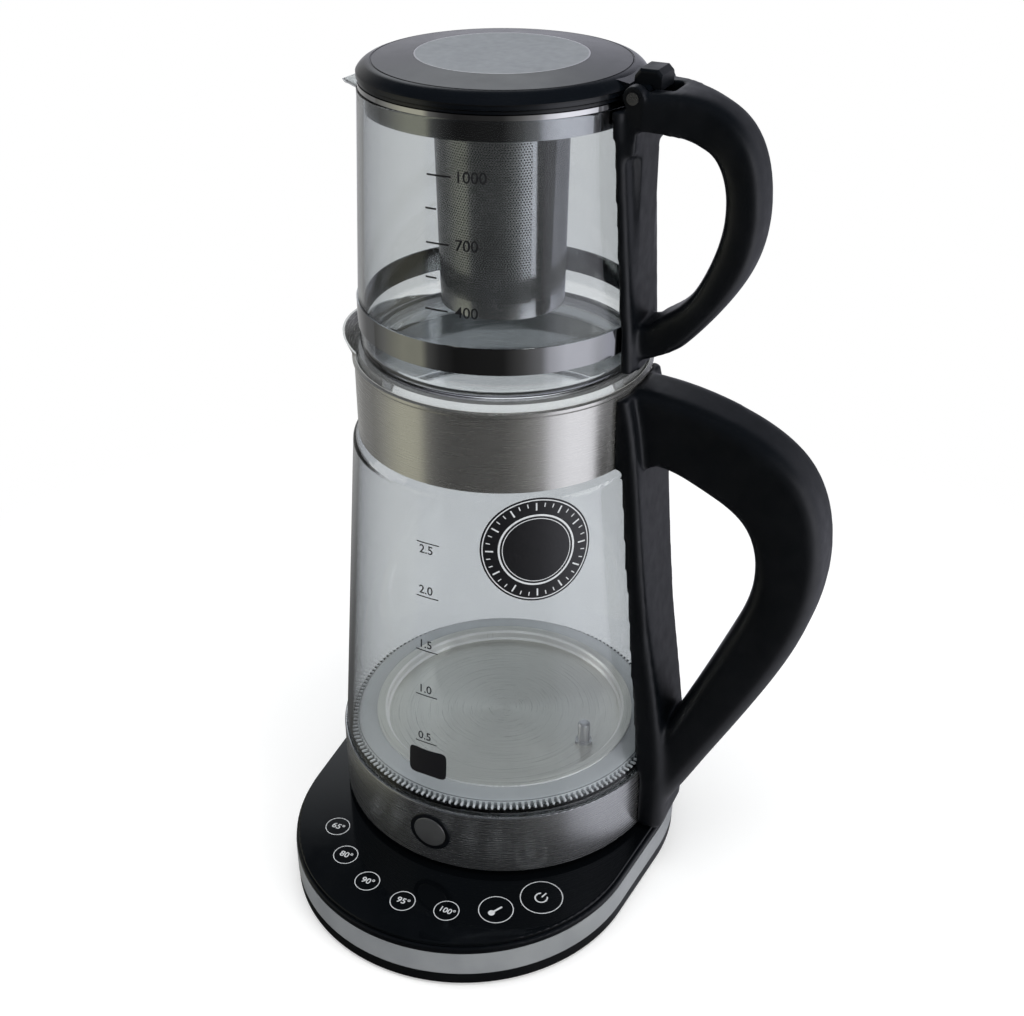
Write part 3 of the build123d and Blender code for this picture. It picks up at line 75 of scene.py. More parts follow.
# ---------------------------------------------------------------- shader building
class Finish:
    """A material under construction: its node tree and the Principled shader that ends it."""

    NAMES = {
        "colour": "Base Color",
        "rough": "Roughness",
        "metal": "Metallic",
        "normal": "Normal",
        "ior": "IOR",
        "clear": "Transmission Weight",
        "brush": "Anisotropic",
        "turned": "Anisotropic Rotation",
        "tangent": "Tangent",
    }

    def __init__(self, name):
        self.material = bpy.data.materials.new(name)
        self.material.use_nodes = True
        self.tree = self.material.node_tree
        self.tree.nodes.clear()
        self.output = self.tree.nodes.new("ShaderNodeOutputMaterial")
        self.shader = self.add("ShaderNodeBsdfPrincipled")
        self.join(self.shader.outputs[0], self.output.inputs[0])
        self.place = self.add("ShaderNodeTexCoord").outputs["Object"]

    def add(self, kind, *links, **settings):
        """A node; links go to its inputs in order, and settings to its own fields or its sockets."""
        node = self.tree.nodes.new(kind)
        for key, value in settings.items():
            if hasattr(node, key):
                setattr(node, key, value)
            else:
                node.inputs[key.replace("_", " ")].default_value = value
        for socket, value in zip(node.inputs, links):
            self.join(value, socket)
        return node

    def join(self, source, target):
        """Links a socket to an input, or sets the input to a plain value."""
        if isinstance(source, bpy.types.NodeSocket):
            self.tree.links.new(source, target)
        else:
            target.default_value = source

    def sums(self, operation, *values):
        """One step of arithmetic on sockets or numbers."""
        return self.add("ShaderNodeMath", *values, operation=operation).outputs[0]

    def stretched(self, scale):
        """The shaded point's place, scaled on each axis to draw a pattern out."""
        return self.add("ShaderNodeMapping", self.place, Scale=scale).outputs[0]

    def noise(self, scale, detail=3.0, vector=None, roughness=0.5):
        """A cloudy pattern, mostly between 0.3 and 0.7."""
        cloud = self.add(
            "ShaderNodeTexNoise", vector or self.place, Scale=scale, Detail=detail, Roughness=roughness
        )
        return cloud.outputs[0]

    def spread(self, source, low, high, start=0.3, end=0.7):
        """The source's range from start to end, drawn out to run from low to high."""
        ranged = self.add(
            "ShaderNodeMapRange", source, From_Min=start, From_Max=end, To_Min=low, To_Max=high
        )
        return ranged.outputs[0]

    def blend(self, amount, first, second):
        """A colour between two; a Mix node has its colour sockets after those for numbers and vectors."""
        node = self.add("ShaderNodeMix", data_type="RGBA")
        self.join(amount, node.inputs[0])
        self.join(first, node.inputs[6])
        self.join(second, node.inputs[7])
        return node.outputs[2]

    def relief(self, height, strength, distance, normal=None):
        """A normal tilted by a height pattern, on top of another normal if there is one."""
        node = self.add("ShaderNodeBump", Strength=strength, Distance=distance)
        self.join(height, node.inputs["Height"])
        if normal:
            self.join(normal, node.inputs["Normal"])
        return node.outputs[0]

    def around(self):
        """Height, distance from the upright axis and angle round it, of the shaded point."""
        x, y, z = self.add("ShaderNodeSeparateXYZ", self.place).outputs
        squares = self.sums("ADD", self.sums("MULTIPLY", x, x), self.sums("MULTIPLY", y, y))
        return z, self.sums("SQRT", squares), self.sums("ARCTAN2", y, x)

    def sight(self):
        """1 for a ray that comes straight or through glass, and 1 for one that a surface has mirrored."""
        path = self.add("ShaderNodeLightPath")
        straight = self.sums("MAXIMUM", path.outputs["Is Camera Ray"], path.outputs["Is Transmission Ray"])
        return straight, self.sums("GREATER_THAN", path.outputs["Glossy Depth"], 0.5)

    def put(self, **values):
        """Sets the Principled shader's inputs by their short names."""
        for key, value in values.items():
            self.join(value, self.shader.inputs[self.NAMES[key]])


def tone(red, green=None, blue=None):
    """A colour with its alpha; a single number makes a grey."""
    return (red, red if green is None else green, red if blue is None else blue, 1.0)


# ---------------------------------------------------------------- finishes
def moulded(name, dark, light, rough, grain=2200.0, depth=0.00004):
    """Injection-moulded plastic: faint cloudiness and a fine spark-eroded grain."""
    f = Finish(name)
    f.put(
        colour=f.blend(f.spread(f.noise(38.0, 4.0), 0.0, 1.0), tone(*dark), tone(*light)),
        rough=f.spread(f.noise(160.0, 5.0), *rough),
        normal=f.relief(f.noise(grain, 2.0), 0.35, depth),
    )
    return f.material


def worked_metal(name, dark, light, rough, grain=900.0, depth=0.00003, scale=60.0, metal=1.0):
    """Cast, plated or stamped metal with small tone changes."""
    f = Finish(name)
    f.put(
        colour=f.blend(f.spread(f.noise(scale, 5.0), 0.0, 1.0), tone(*dark), tone(*light)),
        rough=f.spread(f.noise(scale * 4, 4.0), *rough),
        normal=f.relief(f.noise(grain, 3.0), 0.3, depth),
        metal=metal,
    )
    return f.material


def brushed(name, dark, light, rough, along, across, flat=False, brush=0.75, metal=1.0,
            painted_light_within=None, paints_slope_sheen=False):
    """Steel brushed round the axis, each line a little lighter or darker.

    Inside a given radius it is painted matt and pale, as painted light on its inner surfaces; with the slope
    sheen on, it is painted bright and less metallic where it leans, as a painted reflection.
    """
    f = Finish(name)
    height, far, angle = f.around()
    line = far if flat else height
    round_x = f.sums("MULTIPLY", f.sums("SINE", angle), along)
    round_y = f.sums("MULTIPLY", f.sums("COSINE", angle), along)
    drawn = f.add("ShaderNodeCombineXYZ", round_x, round_y, f.sums("MULTIPLY", line, across))
    streak = f.noise(1.0, 6.0, drawn.outputs[0], 0.65)
    cloud = f.noise(24.0, 4.0)
    both = f.sums("ADD", f.sums("MULTIPLY", streak, 0.8), f.sums("MULTIPLY", cloud, 0.2))
    sheet = f.blend(f.spread(both, 0.0, 1.0, 0.32, 0.68), tone(*dark), tone(*light))
    # painted light: inside this radius the steel is painted pale and made less metallic, so its inner
    # surfaces read bright
    if painted_light_within:
        step = (painted_light_within * MM, (painted_light_within + 0.3) * MM)
        sheet = f.blend(f.spread(far, 0.0, 1.0, *step), tone(0.56, 0.565, 0.55), sheet)
        metal = f.spread(far, 0.35, metal, *step)
    # painted reflection: where the surface leans, the colour is painted near-white and the metal lowered, so
    # the slope reads bright
    if paints_slope_sheen:
        facing = f.add("ShaderNodeNewGeometry").outputs["Normal"]
        upright = f.add("ShaderNodeSeparateXYZ", facing).outputs[2]
        painted_sheen_mask = f.spread(upright, 1.0, 0.0, 0.86, 0.985)
        sheet = f.blend(painted_sheen_mask, sheet, tone(0.97, 0.97, 0.95))
        metal = f.spread(painted_sheen_mask, metal, 0.28, 0.0, 1.0)
    f.put(
        colour=sheet,
        rough=f.spread(streak, *rough),
        normal=f.relief(streak, 0.06, 0.00001),
        metal=metal,
        brush=brush,
        turned=0.25,  # a quarter turn: highlights run across the brushed lines, not along them
        tangent=f.add("ShaderNodeTangent", direction_type="RADIAL", axis="Z").outputs[0],
    )
    return f.material


def mirror_steel(name, dark, light, rough):
    """Polished stainless steel with faint hairlines."""
    f = Finish(name)
    f.put(
        colour=f.blend(f.spread(f.noise(30.0, 4.0), 0.0, 1.0), tone(*dark), tone(*light)),
        rough=f.spread(f.noise(900.0, 4.0, f.stretched((1.0, 1.0, 14.0))), *rough),
        metal=1.0,
    )
    return f.material


def perforated(name, pitch=1.3, hole=0.40, radius=28.9, seam=(-0.68, -0.47), solid_below=312.0):
    """Sheet steel with rows of small round holes painted near-black, as painted shade for the inside seen
    through them; a welded seam and the lower rim stay solid.

    Lengths are in millimetres, and the seam runs between two angles round the axis.
    """
    f = Finish(name)
    height, _, angle = f.around()
    count = round(tau * radius / pitch)
    row_gap = pitch * sqrt(3) / 2 * MM
    across = f.sums("MULTIPLY", angle, count / tau)
    rows = f.sums("DIVIDE", height, row_gap)
    odd = f.sums("MULTIPLY", f.sums("MODULO", f.sums("FLOOR", rows), 2.0), 0.5)
    u = f.sums("SUBTRACT", f.sums("FRACT", f.sums("ADD", across, odd)), 0.5)
    v = f.sums("MULTIPLY", f.sums("SUBTRACT", f.sums("FRACT", rows), 0.5), sqrt(3) / 2)
    away = f.sums("SQRT", f.sums("ADD", f.sums("MULTIPLY", u, u), f.sums("MULTIPLY", v, v)))
    steel = f.spread(away, 0.0, 1.0, hole / pitch - 0.05, hole / pitch + 0.05)
    in_seam = f.sums("MULTIPLY", f.sums("GREATER_THAN", angle, seam[0]), f.sums("LESS_THAN", angle, seam[1]))
    low = f.sums("LESS_THAN", height, solid_below * MM)
    whole = f.sums("MAXIMUM", steel, f.sums("MAXIMUM", in_seam, low))
    sheet = f.blend(f.spread(f.noise(40.0, 4.0), 0.0, 1.0), tone(0.60, 0.60, 0.59), tone(0.76, 0.76, 0.75))
    f.put(
        # painted shade: the holes are near-black and not metal, standing in for the dark inside
        colour=f.blend(whole, tone(0.012), sheet),
        rough=f.spread(f.noise(700.0, 3.0), 0.10, 0.18),
        metal=f.sums("MULTIPLY", whole, 0.92),
        normal=f.relief(whole, 0.35, 0.00006),
    )
    return f.material


def glass(name, tint, painted_light_below=0.0):
    """Blown glass with a slight tint, painted paler in its thick foot as painted light that brightens it;
    lamps and diffuse light pass through.
    """
    f = Finish(name)
    height, _, _ = f.around()
    # painted light: below the given height the tint is paler, so the foot reads bright
    foot = f.spread(height, 1.0, 0.0, (painted_light_below - 1.0) * MM, (painted_light_below + 1.0) * MM)
    f.put(
        colour=f.blend(foot, tone(*tint), tone(0.90, 0.915, 0.92)),
        rough=0.0,
        ior=1.47,
        clear=1.0,
        normal=f.relief(f.noise(16.0, 2.0), 0.08, 0.0006),
    )
    path = f.add("ShaderNodeLightPath")
    passing = f.sums("MAXIMUM", path.outputs["Is Shadow Ray"], path.outputs["Is Diffuse Ray"])
    open_air = f.add("ShaderNodeBsdfTransparent", tone(0.93, 0.94, 0.95))
    mix = f.add("ShaderNodeMixShader", passing, f.shader.outputs[0], open_air.outputs[0])
    f.join(mix.outputs[0], f.output.inputs[0])
    return f.material


def silicone(name, tint, clear, rough=(0.14, 0.26), ribs=None):
    """Translucent moulded rubber; between two radii, painted shade makes it dark where the ribs leave gaps
    and along a thin ring just inside them.
    """
    f = Finish(name)
    deeper = [part * 0.93 for part in tint]
    body = f.blend(f.spread(f.noise(70.0, 4.0), 0.0, 1.0), tone(*tint), tone(*deeper))
    if ribs:
        inner, outer = ribs
        _, far, angle = f.around()
        part = f.sums("FRACT", f.sums("ADD", f.sums("MULTIPLY", angle, RIB_COUNT / tau), 0.5))
        gap = f.sums("GREATER_THAN", f.sums("ABSOLUTE", f.sums("SUBTRACT", part, 0.5)), 0.26)
        past_inner = f.sums("GREATER_THAN", far, inner * MM)
        band = f.sums("MULTIPLY", past_inner, f.sums("LESS_THAN", far, outer * MM))
        off_edge = f.sums("ABSOLUTE", f.sums("SUBTRACT", far, (inner - 0.5) * MM))
        edge = f.sums("LESS_THAN", off_edge, 0.22 * MM)
        # painted shade: dark in the gaps between the ribs and along a thin ring just inside the band
        painted_shade = f.sums("MAXIMUM", f.sums("MULTIPLY", gap, band), edge)
        body = f.blend(f.sums("MULTIPLY", painted_shade, 0.75), body, tone(0.10, 0.11, 0.12))
    f.put(
        colour=body,
        rough=f.spread(f.noise(300.0, 3.0), *rough),
        ior=1.41,
        clear=clear,
        normal=f.relief(f.noise(60.0, 3.0), 0.15, 0.0003),
    )
    return f.material


def printed(name, colour, rough=0.45):
    """Screen-printed ink, a little uneven."""
    f = Finish(name)
    thin = [part * 0.88 for part in colour]
    f.put(
        colour=f.blend(f.spread(f.noise(400.0, 3.0), 0.0, 1.0), tone(*colour), tone(*thin)),
        rough=f.spread(f.noise(900.0, 2.0), rough - 0.06, rough + 0.06),
    )
    return f.material


def gloss_plate(name):
    """Back-painted black glass-like plate, with faint smears in the gloss."""
    f = Finish(name)
    dark, light = tone(0.0012, 0.0016, 0.0020), tone(0.0022, 0.0028, 0.0036)
    f.put(
        colour=f.blend(f.spread(f.noise(20.0, 4.0), 0.0, 1.0), dark, light),
        rough=f.spread(f.noise(55.0, 6.0, roughness=0.7), 0.035, 0.11),
        normal=f.relief(f.noise(900.0, 2.0), 0.03, 0.00001),
        ior=1.5,
    )
    return f.material


def circuit(name):
    """Green lacquered board with copper tracks under the lacquer."""
    f = Finish(name)
    tracks = f.add("ShaderNodeTexBrick", f.place, Scale=190.0, Mortar_Size=0.09).outputs["Fac"]
    f.put(
        colour=f.blend(tracks, tone(0.01, 0.10, 0.035), tone(0.03, 0.20, 0.06)),
        rough=f.spread(f.noise(200.0, 3.0), 0.28, 0.42),
        normal=f.relief(tracks, 0.3, 0.00005),
    )
    return f.material


def stepped_lid(name, lines, width=0.45):
    """Smooth black lid plastic, with the parting lines that run round its side."""
    f = Finish(name)
    height, _, _ = f.around()
    groove = 0.0
    for line in lines:
        off_line = f.sums("ABSOLUTE", f.sums("SUBTRACT", height, line * MM))
        groove = f.sums("MAXIMUM", groove, f.sums("LESS_THAN", off_line, width / 2 * MM))
    dark, light = tone(0.0018, 0.0026, 0.0040), tone(0.0030, 0.0042, 0.0060)
    plastic = f.blend(f.spread(f.noise(30.0, 4.0), 0.0, 1.0), dark, light)
    grain = f.relief(f.noise(2600.0, 2.0), 0.08, 0.00001)
    f.put(
        colour=f.blend(groove, plastic, tone(0.002)),
        rough=f.spread(f.noise(120.0, 5.0), 0.17, 0.24),
        normal=f.relief(f.sums("SUBTRACT", 1.0, groove), 0.7, 0.0004, grain),
    )
    return f.material


# plastics and rubber: name, darker and lighter tone, roughness, then grain
satin_black = moulded("satin_black_plastic", (0.0012, 0.0019, 0.0030), (0.0022, 0.0031, 0.0047), (0.34, 0.46))
cover_black = moulded(
    "matt_black_plastic", (0.0022, 0.0028, 0.0036), (0.0040, 0.0048, 0.0060), (0.50, 0.62), 1400.0, 0.00008
)
connector_black = moulded("nylon_black", (0.006, 0.006, 0.007), (0.012, 0.012, 0.013), (0.42, 0.55), 1700.0)
rubber = moulded("black_rubber", (0.008, 0.008, 0.009), (0.018, 0.018, 0.019), (0.70, 0.85), 900.0, 0.0001)
component_grey = moulded(
    "component_grey", (0.10, 0.10, 0.105), (0.15, 0.15, 0.155), (0.45, 0.60), 1200.0
)
lid_black = stepped_lid("lid_black_plastic", (404.0, 406.3))
plate_black = gloss_plate("gloss_black_plate")
board_green = circuit("circuit_board")

# metals
silver_paint = worked_metal(
    "silver_paint", (0.30, 0.315, 0.33), (0.36, 0.375, 0.39), (0.34, 0.46), 3000.0, 0.00002, metal=0.25
)
screw_steel = worked_metal("zinc_plated_steel", (0.38, 0.38, 0.38), (0.55, 0.55, 0.54), (0.25, 0.40))
spring_steel = worked_metal("spring_wire", (0.35, 0.35, 0.36), (0.55, 0.55, 0.56), (0.22, 0.34), scale=200.0)
brass = worked_metal("contact_brass", (0.55, 0.36, 0.13), (0.75, 0.53, 0.22), (0.22, 0.36))
aluminium = worked_metal(
    "cast_aluminium", (0.42, 0.42, 0.43), (0.62, 0.62, 0.63), (0.38, 0.55), 500.0, 0.0001
)
probe_steel = worked_metal("probe_steel", (0.62, 0.63, 0.64), (0.76, 0.77, 0.78), (0.14, 0.24), metal=0.7)
cap_steel = worked_metal(
    "brushed_button_steel", (0.26, 0.265, 0.27), (0.36, 0.365, 0.37), (0.28, 0.40), metal=0.85
)
lid_grey = worked_metal(
    "grey_lid_disc", (0.205, 0.222, 0.236), (0.235, 0.252, 0.266), (0.30, 0.42), 2600.0, 0.00002, metal=0.40
)
ring_steel = brushed(
    "brushed_ring_steel", (0.55, 0.56, 0.57), (0.61, 0.62, 0.63), (0.23, 0.30), 2.5, 3400.0, metal=0.96
)
# inside the given radius the collar is painted pale, as painted light on its inner surfaces
collar_steel = brushed(
    "brushed_collar_steel", (0.61, 0.605, 0.58), (0.69, 0.685, 0.655), (0.22, 0.29), 3.0, 3200.0,
    metal=0.92, painted_light_within=68.6,
)
# the plate's sloping parts carry a painted reflection: bright and less metallic where they lean
plate_steel = brushed(
    "turned_plate_steel", (0.80, 0.80, 0.74), (0.88, 0.88, 0.82), (0.26, 0.32), 1.0, 3600.0,
    flat=True, brush=0.95, metal=0.72, paints_slope_sheen=True,
)
# painted shade: the teapot's band is a darker copy of the polished steel below it, so it reads dark
band_steel_painted_shade = mirror_steel("band_steel_painted_shade", (0.33, 0.335, 0.34), (0.39, 0.395, 0.40), (0.03, 0.08))
polished_steel = mirror_steel("polished_steel", (0.62, 0.62, 0.62), (0.70, 0.70, 0.70), (0.03, 0.09))
mesh_steel = perforated("perforated_steel")

# glass, silicone and ink
kettle_glass = glass("kettle_glass", (0.70, 0.72, 0.735))
# the teapot's glass below 290 mm is painted paler, as painted light
teapot_glass = glass("teapot_glass", (0.70, 0.72, 0.73), 290.0)
clear_silicone = silicone("clear_silicone", (0.90, 0.93, 0.94), 0.38)
# the gasket's rib gaps are painted dark, as painted shade
ribbed_silicone = silicone("ribbed_silicone", (0.80, 0.83, 0.84), 0.42, ribs=(78.6, 81.8))
rib_silicone = silicone("rib_silicone", (0.93, 0.95, 0.96), 0.30)
glassy_silicone = silicone("glassy_silicone", (0.93, 0.95, 0.95), 0.88, rough=(0.03, 0.07))
white_ink = printed("white_ink", (0.62, 0.64, 0.66))
black_ink = printed("black_ink", (0.010, 0.010, 0.012), 0.35)

SLOT_FINISH = {
    "black_cover": cover_black,
    "black_rubber": rubber,
    "screw_steel": screw_steel,
    "silver_trim": silver_paint,
    "gloss_black": plate_black,
    "satin_black": satin_black,
    "connector_black": connector_black,
    "contact_brass": brass,
    "circuit_board": board_green,
    "spring_steel": spring_steel,
    "component_grey": component_grey,
    "brushed_steel": ring_steel,
    "polished_steel": polished_steel,
    "perforated_steel": mesh_steel,
    "kettle_glass": kettle_glass,
    "teapot_glass": teapot_glass,
    "clear_silicone": clear_silicone,
    "aluminium": aluminium,
    "lid_grey": lid_grey,
}
OWN_FINISH = {
    "kettle_collar": collar_steel,
    "heating_plate": plate_steel,
    "button_cap": cap_steel,
    "teapot_band": band_steel_painted_shade,
    "temperature_probe": probe_steel,
    "glass_gasket": ribbed_silicone,
    "mouth_seal": glassy_silicone,
    "lid_shell": lid_black,
}
for node_name, solid in nodes.items():
    slot_name = solid.data.materials[0].name.split(".")[0]
    solid.data.materials[0] = OWN_FINISH.get(node_name) or SLOT_FINISH[slot_name]


# ---------------------------------------------------------------- tools for new pieces
INK_LINE = 0.04  # thickness of an inked line
INK_PATCH = 0.05  # thickness of an inked patch
INK_LETTER = 0.02  # half the thickness of a number
LETTER_BOLDNESS = 0.06  # how far a number's outlines are moved out
RING_SECTION = 8  # corners of a ring's cross-section
RING_FLATNESS = 0.1  # a ring's thickness as a share of its width
RING_LIFT = 0.02


def nothing_selected():
    for thing in bpy.context.selected_objects:
        thing.select_set(False)


def only(piece):
    """Selects one object and makes it the active one."""
    nothing_selected()
    piece.select_set(True)
    bpy.context.view_layer.objects.active = piece


def open_mesh():
    """Opens the active mesh for editing, with all of it selected."""
    bpy.ops.object.mode_set(mode="EDIT")
    bpy.ops.mesh.select_all(action="SELECT")


def open_part(piece, wanted):
    """Opens a mesh for editing, with the points selected that a test wants."""
    bpy.ops.object.mode_set(mode="EDIT")
    bpy.ops.mesh.select_all(action="DESELECT")
    bpy.ops.object.mode_set(mode="OBJECT")
    for point in piece.data.vertices:
        point.select = wanted(point.co)
    bpy.ops.object.mode_set(mode="EDIT")


def close_mesh(facing_out=False):
    """Ends editing; facing_out first turns every face of the mesh outwards."""
    if facing_out:
        bpy.ops.mesh.select_all(action="SELECT")
        bpy.ops.mesh.normals_make_consistent(inside=False)
    bpy.ops.object.mode_set(mode="OBJECT")


def raised(rise):
    """Moves the active mesh up by a length in metres."""
    open_mesh()
    bpy.ops.transform.translate(value=(0, 0, rise))
    close_mesh()


def joined(pieces):
    """Several meshes made into one."""
    nothing_selected()
    for piece in pieces:
        piece.select_set(True)
    bpy.context.view_layer.objects.active = pieces[0]
    bpy.ops.object.join()
    return bpy.context.object


def fixed(piece, name, body, finish, smooth=False):
    """Names a finished piece, gives it its finish and fastens it to a body."""
    piece.name = name
    piece.data.name = name
    piece.data.materials.clear()
    piece.data.materials.append(finish)
    only(piece)
    if smooth:
        bpy.ops.object.shade_smooth_by_angle(angle=radians(40))
    bpy.ops.object.transform_apply(location=True, rotation=True, scale=True)
    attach(piece, body)
    nothing_selected()


def figure(words, size, x=0.0, y=0.0, side="CENTER"):
    """A number as a thin layer of ink, lying flat, in millimetres."""
    nothing_selected()
    bpy.ops.object.text_add()
    writing = bpy.context.object
    writing.data.body = words
    writing.data.size = size * MM
    writing.data.offset = LETTER_BOLDNESS * MM
    writing.data.extrude = INK_LETTER * MM
    writing.data.align_x = side
    writing.data.align_y = "CENTER"
    bpy.ops.object.convert(target="MESH")
    writing = bpy.context.object
    open_mesh()
    bpy.ops.mesh.remove_doubles(threshold=1e-6)
    bpy.ops.transform.translate(value=(x * MM, y * MM, 0))
    close_mesh()
    return writing


def stroke(length, width, x=0.0, y=0.0, turn=0.0, steps=10):
    """A straight inked line, cut across so that it can bend."""
    nothing_selected()
    bpy.ops.mesh.primitive_grid_add(x_subdivisions=steps, y_subdivisions=1, size=1.0)
    line = bpy.context.object
    open_mesh()
    bpy.ops.transform.resize(value=(length * MM, width * MM, 1))
    bpy.ops.mesh.extrude_region_move(TRANSFORM_OT_translate={"value": (0, 0, INK_LINE * MM)})
    bpy.ops.mesh.select_all(action="SELECT")
    bpy.ops.mesh.normals_make_consistent(inside=False)
    bpy.ops.transform.rotate(value=-turn, orient_axis="Z", center_override=(0, 0, 0))
    bpy.ops.transform.translate(value=(x * MM, y * MM, 0))
    close_mesh()
    return line


def hoop(radius, width, x=0.0, y=0.0, steps=72):
    """A flat ring, for ink or a thin bright edge."""
    nothing_selected()
    bpy.ops.mesh.primitive_torus_add(
        major_segments=steps, minor_segments=RING_SECTION,
        major_radius=radius * MM, minor_radius=width / 2 * MM,
    )
    ring = bpy.context.object
    open_mesh()
    bpy.ops.transform.resize(value=(1, 1, RING_FLATNESS))
    bpy.ops.transform.translate(value=(x * MM, y * MM, RING_LIFT * MM))
    close_mesh()
    return ring


def patch(radius, rings, shape=None):
    """A thin round patch with rings of faces, so that it can bend; shape moves its points."""
    nothing_selected()
    bpy.ops.mesh.primitive_circle_add(vertices=96, radius=radius * MM, fill_type="NGON")
    face = bpy.context.object
    open_mesh()
    for _ in range(rings - 1):
        bpy.ops.mesh.inset(thickness=radius / rings * MM)
    bpy.ops.mesh.select_all(action="SELECT")
    bpy.ops.mesh.extrude_region_move(TRANSFORM_OT_translate={"value": (0, 0, INK_PATCH * MM)})
    close_mesh(facing_out=True)
    if shape:
        for point in face.data.vertices:
            point.co = shape(*point.co)
    return face


def glass_side(foot, neck):
    """Outside radius of a tapering glass wall by height, from two pairs of radius and height."""
    (foot_radius, foot_height), (neck_radius, neck_height) = foot, neck

    def radius_at(height):
        widening = (neck_radius - foot_radius) * (height / MM - foot_height) / (neck_height - foot_height)
        return (foot_radius + widening) * MM

    return radius_at


def onto_glass(piece, side, azimuth, height, lift=0.03):
    """Bends a flat drawing (x to the right, y up) round a glass wall."""
    for point in piece.data.vertices:
        x, y, out = point.co
        up = height * MM + y
        far = side(up) + lift * MM + out
        turn = radians(azimuth) + x / far
        point.co = (far * cos(turn), far * sin(turn), up)
    return piece


def softened(node_name, name, body, finish, voxel, passes):
    """A moulding's own solid with its hard steps eased, as a mould maker blends them, place by place.

    Each pass is a test of a point in millimetres and how often the points that pass it are smoothed.
    """
    piece = bpy.data.objects.new(name, nodes[node_name].data.copy())
    scene.collection.objects.link(piece)
    only(piece)
    open_mesh()
    bpy.ops.mesh.remove_doubles(threshold=1e-5)
    close_mesh()
    skin = piece.modifiers.new("skin", "REMESH")
    skin.mode = "VOXEL"
    skin.voxel_size = voxel * MM
    bpy.ops.object.modifier_apply(modifier="skin")
    for near, repeat in passes:
        open_part(piece, lambda place: near(*(value / MM for value in place)))
        bpy.ops.mesh.vertices_smooth(factor=0.5, repeat=repeat)
        close_mesh()
    fixed(piece, name, body, finish, smooth=True)
    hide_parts(node_name)


# ---------------------------------------------------------------- handles
# the strap keeps its shape where it meets the glass, and the easing grows outwards to the grip
TEAPOT_HANDLE_EASING = (
    (lambda x, y, z: True, 2),
    (lambda x, y, z: x > 78 or (abs(y) > 9 and z < 396), 14),  # and the strap's edges under the hinge
    (lambda x, y, z: x > 81 or (abs(y) > 10 and z < 388), 24),
    (lambda x, y, z: x > 84, 40),  # the grip alone
)
KETTLE_HANDLE_EASING = (
    (lambda x, y, z: True, 1),
    (lambda x, y, z: x > 84 and z < 268, 8),  # the grip, below its top
)
softened(
    "teapot_handle", "teapot_handle_moulding", "teapot", satin_black,
    0.75, TEAPOT_HANDLE_EASING,
)
softened(
    "kettle_handle", "kettle_handle_moulding", "kettle", satin_black,
    1.3, KETTLE_HANDLE_EASING,
)

# ---------------------------------------------------------------- printed marks
kettle_side = glass_side((84.7, 66.0), (71.9, 236.0))
teapot_side = glass_side((65.8, 307.2), (61.5, 395.9))

# level marks on the kettle: number, height of the line, how far the number's middle is above it
KETTLE_LEVELS = (
    ("2.5", 212.0, -3.6), ("2.0", 184.0, 3.4), ("1.5", 155.0, 3.4), ("1.0", 130.0, 3.4), ("0.5", 103.0, 3.4),
)
KETTLE_LEVELS_AZIMUTH = -91.9
KETTLE_NUMBER_SIZE = 6.0
KETTLE_LINE = (11.6, 0.55)  # length, width
kettle_marks = []
for words, height, above in KETTLE_LEVELS:
    for drawing in (figure(words, KETTLE_NUMBER_SIZE, -0.8, above), stroke(*KETTLE_LINE)):
        kettle_marks.append(onto_glass(drawing, kettle_side, KETTLE_LEVELS_AZIMUTH, height))
fixed(joined(kettle_marks), "kettle_volume_marks", "kettle", black_ink)

# level marks on the teapot: number if any, height, azimuths of the line's ends
TEAPOT_LEVELS = (
    ("1000", 378.0, -92.9, -83.4), ("", 364.4, -93.6, -89.1), ("700", 350.3, -93.4, -84.2),
    ("", 335.7, -93.7, -89.1), ("400", 322.0, -94.0, -84.6),
)
TEAPOT_NUMBERS_AZIMUTH = -81.9
TEAPOT_NUMBER_SIZE = 6.6
TEAPOT_LINE_WIDTH = 0.75
TEAPOT_MARKS_RADIUS = 63.5  # of the glass, halfway up the marks
teapot_marks = []
for words, height, start, end in TEAPOT_LEVELS:
    line = stroke(radians(end - start) * TEAPOT_MARKS_RADIUS, TEAPOT_LINE_WIDTH)
    teapot_marks.append(onto_glass(line, teapot_side, (start + end) / 2, height))
    if words:
        number = figure(words, TEAPOT_NUMBER_SIZE, side="LEFT")
        teapot_marks.append(onto_glass(number, teapot_side, TEAPOT_NUMBERS_AZIMUTH, height))
fixed(joined(teapot_marks), "teapot_volume_marks", "teapot", black_ink)

# a plain round medallion: black, with white rings and even ticks
MEDALLION_PLACE = (-52.7, 212.8)  # azimuth, height
TICK_COUNT = 36
TICK_RADIUS = 23.2  # of the ticks' outer ends
medallion = onto_glass(patch(25.7, 12), kettle_side, *MEDALLION_PLACE, 0.02)
fixed(medallion, "kettle_medallion", "kettle", black_ink)
rings = [hoop(24.6, 0.5), hoop(17.2, 0.9), hoop(15.6, 0.35)]
for index in range(TICK_COUNT):
    turn = tau * index / TICK_COUNT
    long, wide = (3.6, 0.7) if index % 3 == 0 else (1.9, 0.45)
    middle = TICK_RADIUS - long / 2
    rings.append(stroke(long, wide, middle * cos(turn), middle * sin(turn), turn, 3))
rings = [onto_glass(ring, kettle_side, *MEDALLION_PLACE, 0.09) for ring in rings]
fixed(joined(rings), "kettle_medallion_rings", "kettle", white_ink)

# a plain dark plate near the foot of the kettle's glass
BADGE_PLACE = (-91.3, 91.3)  # azimuth, height
BADGE_RADIUS = 10.0  # of the round patch that it is shaped from
BADGE_WIDE = 10.2
BADGE_TALL = 7.4
BADGE_CORNERS = 0.35  # the smaller, the squarer


